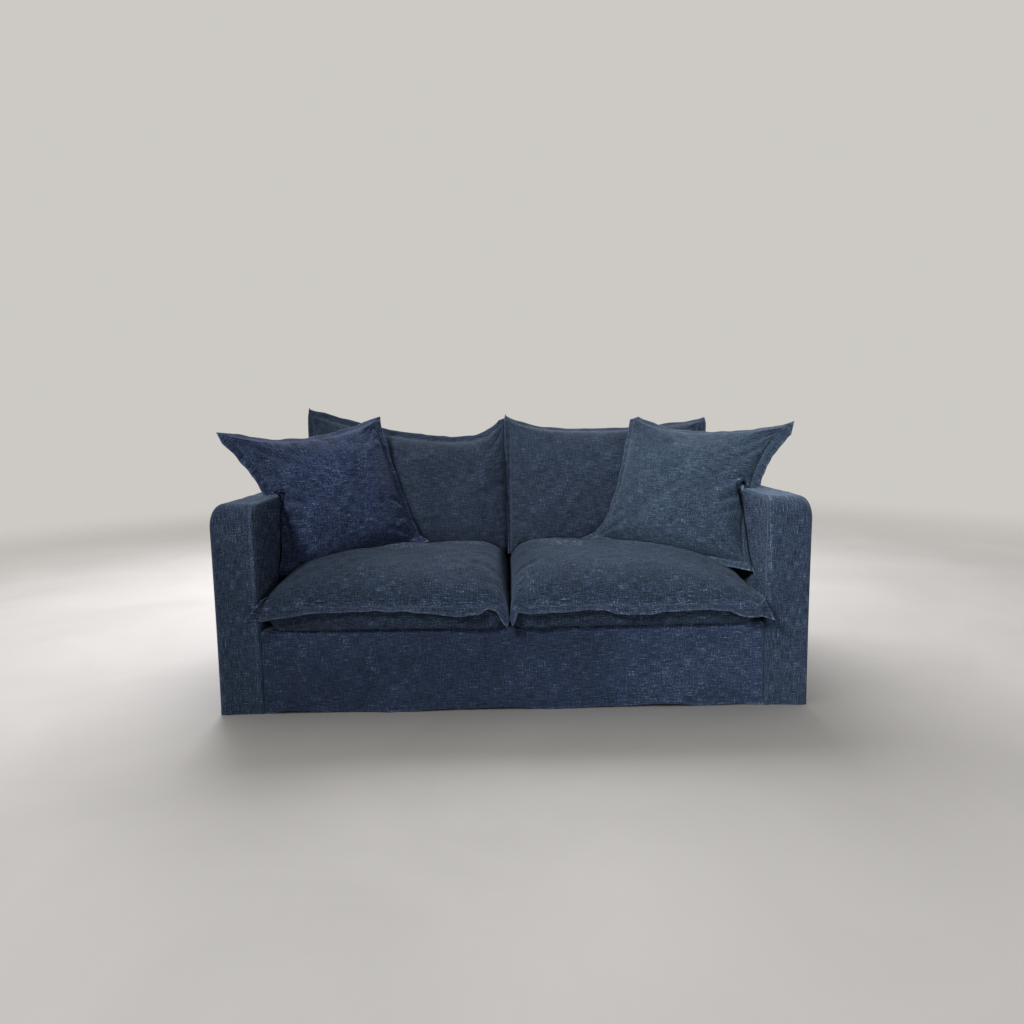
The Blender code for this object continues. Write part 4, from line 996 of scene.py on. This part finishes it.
def pressed(faces, target, along):
    """Move points that lie beyond a raster's surface to just before it, on the near side.

    The surface at a point lies between the levels of the four squares about it.
    """
    raster, start, axes = relief_map(target, along)
    result = []
    for face in faces:
        place = (face[..., axes] - start) / RASTER - 0.5
        low = np.floor(place).astype(int)
        inside = (low >= 0).all(axis=-1) & (low < np.array(raster.shape) - 1).all(axis=-1)
        low = np.clip(low, 0, np.array(raster.shape) - 2)
        a, b = np.moveaxis(np.clip(place - low, 0, 1), -1, 0)
        i, j = np.moveaxis(low, -1, 0)
        near = [raster[i, j], raster[i + 1, j], raster[i, j + 1], raster[i + 1, j + 1]]
        full = np.isfinite(near).all(axis=0) & inside
        near = [np.where(full, value, 0.0) for value in near]
        level = (1 - b) * ((1 - a) * near[0] + a * near[1]) + b * ((1 - a) * near[2] + a * near[3])
        short = level + CONTACT_GAP - face @ along
        result.append(face + np.where(full & (short > 0), short, 0.0)[..., None] * along)
    return result


def keep_thickness(faces, along):
    """Part the two faces again where both were pressed to one place."""
    front, back = faces
    apart = front - back
    least = PRESSED_LEAST * FLANGE_CLOTH
    lack = np.maximum(least - np.linalg.norm(apart, axis=-1, keepdims=True), 0.0)
    ahead = (apart @ along)[..., None] >= 0
    return front + along * np.where(ahead, lack, 0.0), back + along * np.where(ahead, 0.0, lack)


# Front and back faces of the cushions that are finished, by node.
FINISHED = {}


def fill_pair(context, kind, limits, leans, cloths):
    """Fill the left and the right cushion of one kind, and let each stand for its solid.

    Each is pressed on the finished ones it leans on: leans holds their kind and the direction in
    which they push it.
    """
    for name, side, cloth in zip(("left", "right"), (-1, 1), cloths):
        node = kind + "_cushion_" + name
        settle = partial(limits, side)
        faces = cushion_faces(CUSHIONS[node], settle, context.scene.slipcover_shapes)
        faces = [settle(face, 0.0) for face in faces]
        for below, along in leans:
            pairs = [pair for made, pair in FINISHED.items() if made.startswith(below)]
            faces = keep_thickness(pressed(faces, sum(pairs, ()), along), along)
        FINISHED[node] = tuple(faces)
        ring = np.minimum(rings_in(len(faces[0])), len(EDGE_WEAR) - 1)
        # The crown's paler drifts: partly rubbed wear, partly a painted sheen.
        rubbed = np.pad(rubbed_and_sheen_crown(CUSHIONS[node]), len(FLANGE_PLACES))
        wear_and_light = {"worn": np.array(EDGE_WEAR)[ring], "rubbed": rubbed}
        material = cloth_of(context, cloth)
        piece = two_faced_mesh("cloth_" + node, *map(placed, faces), wear_and_light, material, "across")
        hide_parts(node)
        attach(piece, "root")


# Materials.


def linear(hex_colour):
    """An sRGB hex value as linear red, green and blue."""
    value = np.array([int(hex_colour[i : i + 2], 16) for i in (0, 2, 4)]) / 255
    curve = ((value + 0.055) / 1.055) ** 2.4
    return tuple(np.where(value <= 0.04045, value / 12.92, curve).tolist())


def set_inputs(material, node, inputs):
    """Link each input that is given a socket, and set the others."""
    for name, value in inputs.items():
        if isinstance(value, bpy.types.NodeSocket):
            material.node_tree.links.new(value, node.inputs[name])
        else:
            node.inputs[name].default_value = value


def add_node(material, kind, inputs=None, **settings):
    """Add one node with its settings and its inputs."""
    node = material.node_tree.nodes.new(kind)
    for name, value in settings.items():
        setattr(node, name, value)
    set_inputs(material, node, inputs or {})
    return node


def new_material(name):
    """An empty node material with its output and its shader, linked."""
    material = bpy.data.materials.new(name)
    material.use_nodes = True
    material.node_tree.nodes.clear()
    shader = add_node(material, "ShaderNodeBsdfPrincipled")
    add_node(material, "ShaderNodeOutputMaterial", {"Surface": shader.outputs[0]})
    return material, shader


def set_stops(ramp, stops):
    """Give a colour ramp its stops: pairs of a place and a linear colour."""
    elements = ramp.color_ramp.elements
    for place, _ in stops[1:-1]:
        elements.new(place)
    for element, (place, tone) in zip(elements, stops):
        element.position = place
        element.color = (*tone, 1)


def washed_linen(name, deep, pale, slub, mottle, nap, fluff):
    """Stone-washed slub linen: a plain weave of uneven yarns, piece-dyed and tumbled.

    The eye gets thick yarns as short pale and dark streaks both ways, chalky flecks in drifts where
    the wash took colour, worn edges, painted light towards the front panel's ends, paler crowns that
    are partly rubbed and partly a painted sheen, and a soft bloom at a low angle from its fluff.
    Yarns are 0.6 mm apart in the cloth and are drawn 1.8 mm apart, and slubs 1 mm thick 3 mm, to
    show.
    """
    material, shader = new_material(name)
    add = partial(add_node, material)
    cloth = add("ShaderNodeUVMap", uv_map="cloth").outputs[0]
    place = add("ShaderNodeTexCoord").outputs["Object"]
    streaks, clouds = [], []
    for scale in SLUB_SCALES:
        mapped = add("ShaderNodeMapping", {"Vector": cloth, "Scale": scale}).outputs[0]
        streak = {"Vector": mapped, "Scale": 1.0, "Detail": 1.0, "Roughness": 0.5}
        streaks.append(add("ShaderNodeTexNoise", streak).outputs[0])
    for size, detail, roughness in ((0.045, 5.0, 0.65), (0.150, 3.0, 0.5), (0.010, 3.0, 0.6)):
        cloud = {"Vector": place, "Scale": 1 / size, "Detail": detail, "Roughness": roughness}
        clouds.append(add("ShaderNodeTexNoise", cloud).outputs[0])
    drifts, blotches, naps = clouds
    ranged = []
    for value, least, most in ((streaks[2], 0.50, 0.78), (drifts, 0.46, 0.72), (naps, 0.48, 0.72)):
        limits = {"Value": value, "From Min": least, "From Max": most}
        ranged.append(add("ShaderNodeMapRange", limits).outputs[0])
    fleck, drift, crown_drifts = ranged
    # Worn edges and seams, with painted light on the front panel; then the crown's paler drifts,
    # partly rubbed wear and partly painted sheen.
    worn = add("ShaderNodeAttribute", attribute_name="worn").outputs["Fac"]
    rubbed = add("ShaderNodeAttribute", attribute_name="rubbed").outputs["Fac"]
    rubbed = add("ShaderNodeMath", {0: crown_drifts, 1: rubbed}, operation="MULTIPLY").outputs[0]
    centred = []
    for value in (*streaks, drifts, blotches):
        centred.append(add("ShaderNodeMath", {0: value, 1: 0.5}, operation="SUBTRACT").outputs[0])
    ribs = []
    for direction in ("X", "Y"):
        rib = {"Vector": cloth, "Scale": RIB_SCALE, "Distortion": 0.8, "Detail": 1.0}
        ribs.append(add("ShaderNodeTexWave", rib, bands_direction=direction).outputs[1])
    ribs = add("ShaderNodeMath", dict(enumerate(ribs)), operation="MULTIPLY").outputs[0]

    # Weighted sums, each from its start, where a weight may name an earlier sum: how chalky a
    # fleck is, how pale the cloth is, painted sheen and painted light included, how rough, and how
    # high its yarns stand.
    sums = {}
    plans = (
        ("chalky", 0.10, ((drift, 0.5 * mottle), (worn, 0.14))),
        ("tone", 0.5, (
            *zip(centred, [weight * slub for weight in SLUB_WEIGHTS]),
            (fleck, "chalky"), (centred[3], 0.25 * mottle), (centred[4], 0.40 * mottle),
            # Paler on the crown, partly rubbed wear and partly painted sheen; paler where worn, and
            # where painted lighter.
            (rubbed, 2.4 * nap), (worn, 0.42),
        )),
        ("rough", 0.84, ((streaks[0], 0.12),)),
        ("height", ribs, tuple(zip(streaks, SLUB_HEIGHTS))),
    )
    for key, total, terms in plans:
        for value, weight in terms:
            term = {0: value, 1: sums.get(weight, weight), 2: total}
            total = add("ShaderNodeMath", term, operation="MULTIPLY_ADD").outputs[0]
        sums[key] = total

    tone = add("ShaderNodeMath", {0: sums["tone"], 1: 0.75}, operation="MULTIPLY").outputs[0]
    ramp = add("ShaderNodeValToRGB", {"Fac": tone})
    middle = [0.66 * low + 0.34 * high for low, high in zip(deep, pale)]
    # The palest stop, towards bare yarn, colours chalky flecks, worn edges and the painted sheen on
    # crowns.
    chalk_and_sheen = [0.6 * high + 0.4 * bare for high, bare in zip(pale, linear(BARE_YARN))]
    set_stops(ramp, ((0.105, deep), (0.41, middle), (0.75, pale), (1.0, chalk_and_sheen)))
    fine = {"Strength": 0.7, "Distance": 0.0010, "Height": sums["height"]}
    fine = add("ShaderNodeBump", fine).outputs[0]
    bloom = {"Strength": nap, "Distance": 0.0025, "Height": naps, "Normal": fine}
    bloom = add("ShaderNodeBump", bloom).outputs[0]
    crumple = {"Vector": place, "Scale": 1 / 0.022, "Detail": 3.0, "Roughness": 0.5}
    crumple = add("ShaderNodeTexNoise", crumple, noise_type="RIDGED_MULTIFRACTAL").outputs[0]
    soft = {"Strength": 0.25, "Distance": 0.0016, "Height": crumple, "Normal": bloom}
    look = {"Base Color": ramp.outputs[0], "Roughness": sums["rough"]}
    look |= {"Normal": add("ShaderNodeBump", soft).outputs[0], "Specular IOR Level": 0.25}
    look |= {"Sheen Weight": fluff, "Sheen Roughness": 0.40, "Sheen Tint": SHEEN_TINT}
    set_inputs(material, shader, look)
    return material


def cement_floor(name, tone):
    """Polished cement screed: pale and matt, with trowel clouds and a fine grit.

    It fades to nothing between FLOOR_FADE's two distances from the middle, so it has no horizon.
    """
    material, shader = new_material(name)
    add = partial(add_node, material)
    place = add("ShaderNodeTexCoord").outputs["Object"]
    cloud = {"Scale": 1 / 0.70, "Detail": 6.0, "Roughness": 0.55, "Distortion": 0.6}
    cloud = add("ShaderNodeTexNoise", cloud | {"Vector": place}).outputs[0]
    ramp = add("ShaderNodeValToRGB", {"Fac": cloud})
    set_stops(ramp, ((0.3, [0.90 * channel for channel in tone]), (0.7, tone)))
    grit = {"Vector": place, "Scale": 1 / 0.004, "Detail": 2.0}
    grit = add("ShaderNodeTexNoise", grit).outputs[0]
    grit = add("ShaderNodeBump", {"Strength": 0.15, "Distance": 0.0005, "Height": grit}).outputs[0]
    away = add("ShaderNodeVectorMath", {0: place}, operation="LENGTH").outputs["Value"]
    near, far = FLOOR_FADE
    fade = {"Value": away, "From Min": near, "From Max": far, "To Min": 1.0, "To Max": 0.0}
    fade = add("ShaderNodeMapRange", fade, interpolation_type="SMOOTHSTEP").outputs[0]
    look = {"Base Color": ramp.outputs[0], "Normal": grit, "Alpha": fade}
    set_inputs(material, shader, look | {"Roughness": 0.75, "Specular IOR Level": 0.25})
    return material


def cloth_of(context, name):
    """The linen of one material slot, made once from its two user colours."""
    found = bpy.data.materials.get("washed_linen_" + name)
    if found is None:
        cloths = context.scene.slipcover_cloths
        tones = getattr(cloths, name + "_deep"), getattr(cloths, name + "_pale")
        cloth = CLOTHS[name]
        looks = cloth.slub * cloths.slub, cloths.mottle, cloth.nap, cloth.fluff
        found = washed_linen("washed_linen_" + name, *tones, *looks)
    return found


# Settings, operators and panel.


def colour(name, hex_colour, description):
    """A colour setting whose default is an sRGB hex value."""
    look = {"size": 3, "subtype": "COLOR", "min": 0.0, "max": 1.0, "default": linear(hex_colour)}
    return bpy.props.FloatVectorProperty(name=name, description=description, **look)


class SlipcoverCloths(bpy.types.PropertyGroup):
    """Character of the linen, and each cloth's two yarn colours, which the loop below adds."""

    slub: bpy.props.FloatProperty(
        name="Slub", description="How much thick and thin yarns show", default=1.6, min=0, max=3
    )
    mottle: bpy.props.FloatProperty(
        name="Mottle", description="How cloudy the wash left the dye", default=0.75, min=0, max=3
    )


for kind, cloth in CLOTHS.items():
    label = kind.replace("_", " ").capitalize()
    SlipcoverCloths.__annotations__.update({
        kind + "_deep": colour(label + ", dark yarn", cloth.deep, "Dark yarns of " + cloth.what),
        kind + "_pale": colour(label + ", pale yarn", cloth.pale, "Pale yarns of " + cloth.what),
    })


class SlipcoverShapes(bpy.types.PropertyGroup):
    """How crumpled the cushions are, and the floor."""

    loft: bpy.props.FloatProperty(
        name="Loft", description="Strength of the feathers' lumps", default=1.0, min=0, max=2
    )
    pucker: bpy.props.FloatProperty(
        name="Pucker", description="Height of the puckers at the seams", default=0.0016,
        min=0, max=0.004, unit="LENGTH",
    )
    floor_size: bpy.props.FloatProperty(
        name="Floor size", description="Side of the floor", default=30.0, min=6, unit="LENGTH"
    )
    floor_tone: colour("Floor", "efedea", "Colour of the floor")


class SLIPCOVER_OT_sew_arms(bpy.types.Operator):
    """Sew both arms: their bands, inner faces and outer faces."""

    bl_idname = "slipcover.sew_arms"
    bl_label = "Sew the arms"

    def execute(self, context):
        ends = {"left": LEFTWARD, "right": RIGHTWARD}
        inner = dict.fromkeys(SIDES, RIGHTWARD) | {"finish": "inner_arm"}
        outer = dict.fromkeys(SIDES, LEFTWARD)
        for side, seed, mirror in (("left", 3, False), ("right", 203, True)):
            band = arm_band_surface(seed)
            sew(context, "arm_band_" + side, band, "band", "draped", mirror, **ends)
            face = inside_arm_surface(seed)
            sew(context, "inside_arm_" + side, face, "panel", "hung", mirror, **inner)
            face = outside_arm_surface(seed)
            sew(context, "outside_arm_" + side, face, "panel", "hung", mirror, **outer)
        return {"FINISHED"}


class SLIPCOVER_OT_sew_skirt(bpy.types.Operator):
    """Sew the front panel and the platform under the seat cushions."""

    bl_idname = "slipcover.sew_skirt"
    bl_label = "Sew the front and the platform"

    def execute(self, context):
        rims = {"high": UP, "left": front_rim(LEFTWARD), "right": front_rim(RIGHTWARD)}
        rims["grain"] = "across"
        sew(context, "front_panel", front_panel_surface(5), "panel", "hung", **rims)
        sew(context, "deck_panel", deck_surface(6), "panel", "laid")
        return {"FINISHED"}


class SLIPCOVER_OT_sew_back(bpy.types.Operator):
    """Sew the inside back, the band along its top and the whole rear face."""

    bl_idname = "slipcover.sew_back"
    bl_label = "Sew the back"

    def execute(self, context):
        sew(context, "inside_back", inside_back_surface(7), "panel", "hung", high=UP)
        ends = {"low": UP, "high": UP, "left": LEFTWARD, "right": RIGHTWARD}
        sew(context, "back_band", back_band_surface(8), "band", "draped", **ends)
        rear = outside_back_surface(9)
        rims = {side: tray_rim(rear[0])[SIDES[side]] for side in ("high", "left", "right")}
        sew(context, "outside_back", rear, "panel", "hung", **rims)
        return {"FINISHED"}


class SLIPCOVER_OT_fill_seats(bpy.types.Operator):
    """Fill the two seat cushions, which lie on the platform and meet in the middle."""

    bl_idname = "slipcover.fill_seats"
    bl_label = "Fill the seat cushions"

    def execute(self, context):
        fill_pair(context, "seat", seat_limits, (), ("seat", "seat"))
        return {"FINISHED"}


class SLIPCOVER_OT_fill_backs(bpy.types.Operator):
    """Fill the two back cushions, which stand on the seat cushions and lean on the inside back."""

    bl_idname = "slipcover.fill_backs"
    bl_label = "Fill the back cushions"

    def execute(self, context):
        fill_pair(context, "back", back_limits, (("seat", UP),), ("back", "back"))
        return {"FINISHED"}


class SLIPCOVER_OT_fill_scatters(bpy.types.Operator):
    """Fill the two scatter cushions, which lean in the corners on one corner each."""

    bl_idname = "slipcover.fill_scatters"
    bl_label = "Fill the scatter cushions"

    def execute(self, context):
        leans = (("seat", UP), ("back", FORWARD))
        fill_pair(context, "scatter", scatter_limits, leans, ("dark_scatter", "light_scatter"))
        return {"FINISHED"}


class SLIPCOVER_OT_set_stage(bpy.types.Operator):
    """Lay the floor, hang the lights and set up the camera."""

    bl_idname = "slipcover.set_stage"
    bl_label = "Set the stage"

    def execute(self, context):
        shapes = context.scene.slipcover_shapes
        x, y = np.meshgrid(*[np.linspace(-shapes.floor_size / 2, shapes.floor_size / 2, 3)] * 2)
        points = np.stack([x, y, 0 * x], axis=-1).reshape(-1, 3)
        mesh = bpy.data.meshes.new("floor")
        mesh.from_pydata(points.tolist(), [], quads_of(3, 3, 0).tolist())
        mesh.materials.append(cement_floor("polished_cement", shapes.floor_tone))
        floor = bpy.data.objects.new("floor", mesh)
        context.scene.collection.objects.link(floor)
        for row in LIGHTS:
            add_light(context, floor, *row)
        context.scene.world = pale_room("pale_room")
        context.scene.view_settings.view_transform = "Standard"
        context.scene.camera = add_camera(context)
        return {"FINISHED"}


def pale_room(name):
    """Light from all round: the dim tone to the bright one as it comes from ROOM_TOWARDS.

    Behind the object the eye sees one even tone, ROOM_SEEN, from any side.
    """
    world = bpy.data.worlds.new(name)
    world.use_nodes = True
    add = partial(add_node, world)
    dim, bright, seen = ((*linear(tone), 1) for tone in (ROOM_DIM, ROOM_BRIGHT, ROOM_SEEN))
    turn = {0: add("ShaderNodeTexCoord").outputs["Generated"], 1: ROOM_TOWARDS}
    turn = add("ShaderNodeVectorMath", turn, operation="DOT_PRODUCT").outputs["Value"]
    turn = {"Value": turn, "From Min": -0.7, "From Max": 0.6}
    share = add("ShaderNodeMapRange", turn, interpolation_type="SMOOTHSTEP").outputs[0]
    mix = add("ShaderNodeMix", {"Factor": share, 6: dim, 7: bright}, data_type="RGBA")
    ray = add("ShaderNodeLightPath").outputs["Is Camera Ray"]
    mix = add("ShaderNodeMix", {"Factor": ray, 6: mix.outputs[2], 7: seen}, data_type="RGBA")
    set_inputs(world, world.node_tree.nodes["Background"], {"Color": mix.outputs[2]})
    return world


def add_light(context, floor, name, place, aim, size, spread, power, tint, cards):
    """A soft rectangular lamp at a place, turned to aim, whose beam is spread degrees wide.

    As cards would, EXCLUDE keeps it off the floor and INCLUDE on the floor alone.
    """
    lamp = bpy.data.lights.new(name, "AREA")
    lamp.shape = "RECTANGLE"
    lamp.size, lamp.size_y = size
    lamp.spread = math.radians(spread)
    lamp.energy = power
    lamp.color = linear(tint)
    light = bpy.data.objects.new(name, lamp)
    turn = (Vector(aim) - Vector(place)).to_track_quat("-Z", "Y")
    light.matrix_world = Matrix.Translation(place) @ turn.to_matrix().to_4x4()
    context.scene.collection.objects.link(light)
    if cards:
        lit = bpy.data.collections.new(name + "_cards")
        lit.objects.link(floor)
        lit.collection_objects[0].light_linking.link_state = cards
        light.light_linking.receiver_collection = lit


def add_camera(context):
    """A camera turned by CAMERA_YAW, CAMERA_PITCH and CAMERA_ROLL, in that order."""
    camera = bpy.data.objects.new("camera", bpy.data.cameras.new("camera"))
    camera.data.lens = CAMERA_LENS
    camera.data.sensor_width = CAMERA_SENSOR
    camera.data.clip_end = 100.0
    yaw, pitch, roll = (math.radians(angle) for angle in (CAMERA_YAW, CAMERA_PITCH, CAMERA_ROLL))
    side = np.array([math.cos(yaw), math.sin(yaw), 0.0])
    level = np.array([-math.sin(yaw), math.cos(yaw), 0.0])
    ahead = math.cos(pitch) * level - math.sin(pitch) * UP
    above = math.sin(pitch) * level + math.cos(pitch) * UP
    right = math.cos(roll) * side + math.sin(roll) * above
    top = math.cos(roll) * above - math.sin(roll) * side
    matrix = np.eye(4)
    matrix[:3] = np.stack([right, top, -ahead, CAMERA_PLACE], axis=1)
    camera.matrix_world = Matrix(matrix.tolist())
    context.scene.collection.objects.link(camera)
    return camera


class SLIPCOVER_PT_panel(bpy.types.Panel):
    """Settings of the slipcover, with its steps in order."""

    bl_idname = "SLIPCOVER_PT_panel"
    bl_label = "Sofa slipcover"
    bl_space_type = "VIEW_3D"
    bl_region_type = "UI"
    bl_category = "Slipcover"

    def draw(self, context):
        for settings in (context.scene.slipcover_shapes, context.scene.slipcover_cloths):
            box = self.layout.box()
            for name in settings.__annotations__:
                box.prop(settings, name)
        for step in STEPS:
            self.layout.operator(step.bl_idname)


STEPS = (
    SLIPCOVER_OT_sew_arms,
    SLIPCOVER_OT_sew_skirt,
    SLIPCOVER_OT_sew_back,
    SLIPCOVER_OT_fill_seats,
    SLIPCOVER_OT_fill_backs,
    SLIPCOVER_OT_fill_scatters,
    SLIPCOVER_OT_set_stage,
)
CLASSES = (SlipcoverCloths, SlipcoverShapes, *STEPS, SLIPCOVER_PT_panel)


def register():
    """Register the classes and hang their settings on the scene."""
    for kind in CLASSES:
        bpy.utils.register_class(kind)
    bpy.types.Scene.slipcover_cloths = bpy.props.PointerProperty(type=SlipcoverCloths)
    bpy.types.Scene.slipcover_shapes = bpy.props.PointerProperty(type=SlipcoverShapes)


def unregister():
    """Take the settings and the classes away again."""
    del bpy.types.Scene.slipcover_shapes
    del bpy.types.Scene.slipcover_cloths
    for kind in reversed(CLASSES):
        bpy.utils.unregister_class(kind)


def corners(box):
    """A box's lowest and highest corner as plain lists."""
    return [[float(value) for value in corner] for corner in box]


def main():
    """Make every piece in order."""
    register()
    bpy.ops.slipcover.sew_arms()
    bpy.ops.slipcover.sew_skirt()
    bpy.ops.slipcover.sew_back()
    bpy.ops.slipcover.fill_seats()
    bpy.ops.slipcover.fill_backs()
    bpy.ops.slipcover.fill_scatters()
    bpy.ops.slipcover.set_stage()


if __name__ == "__main__":
    main()
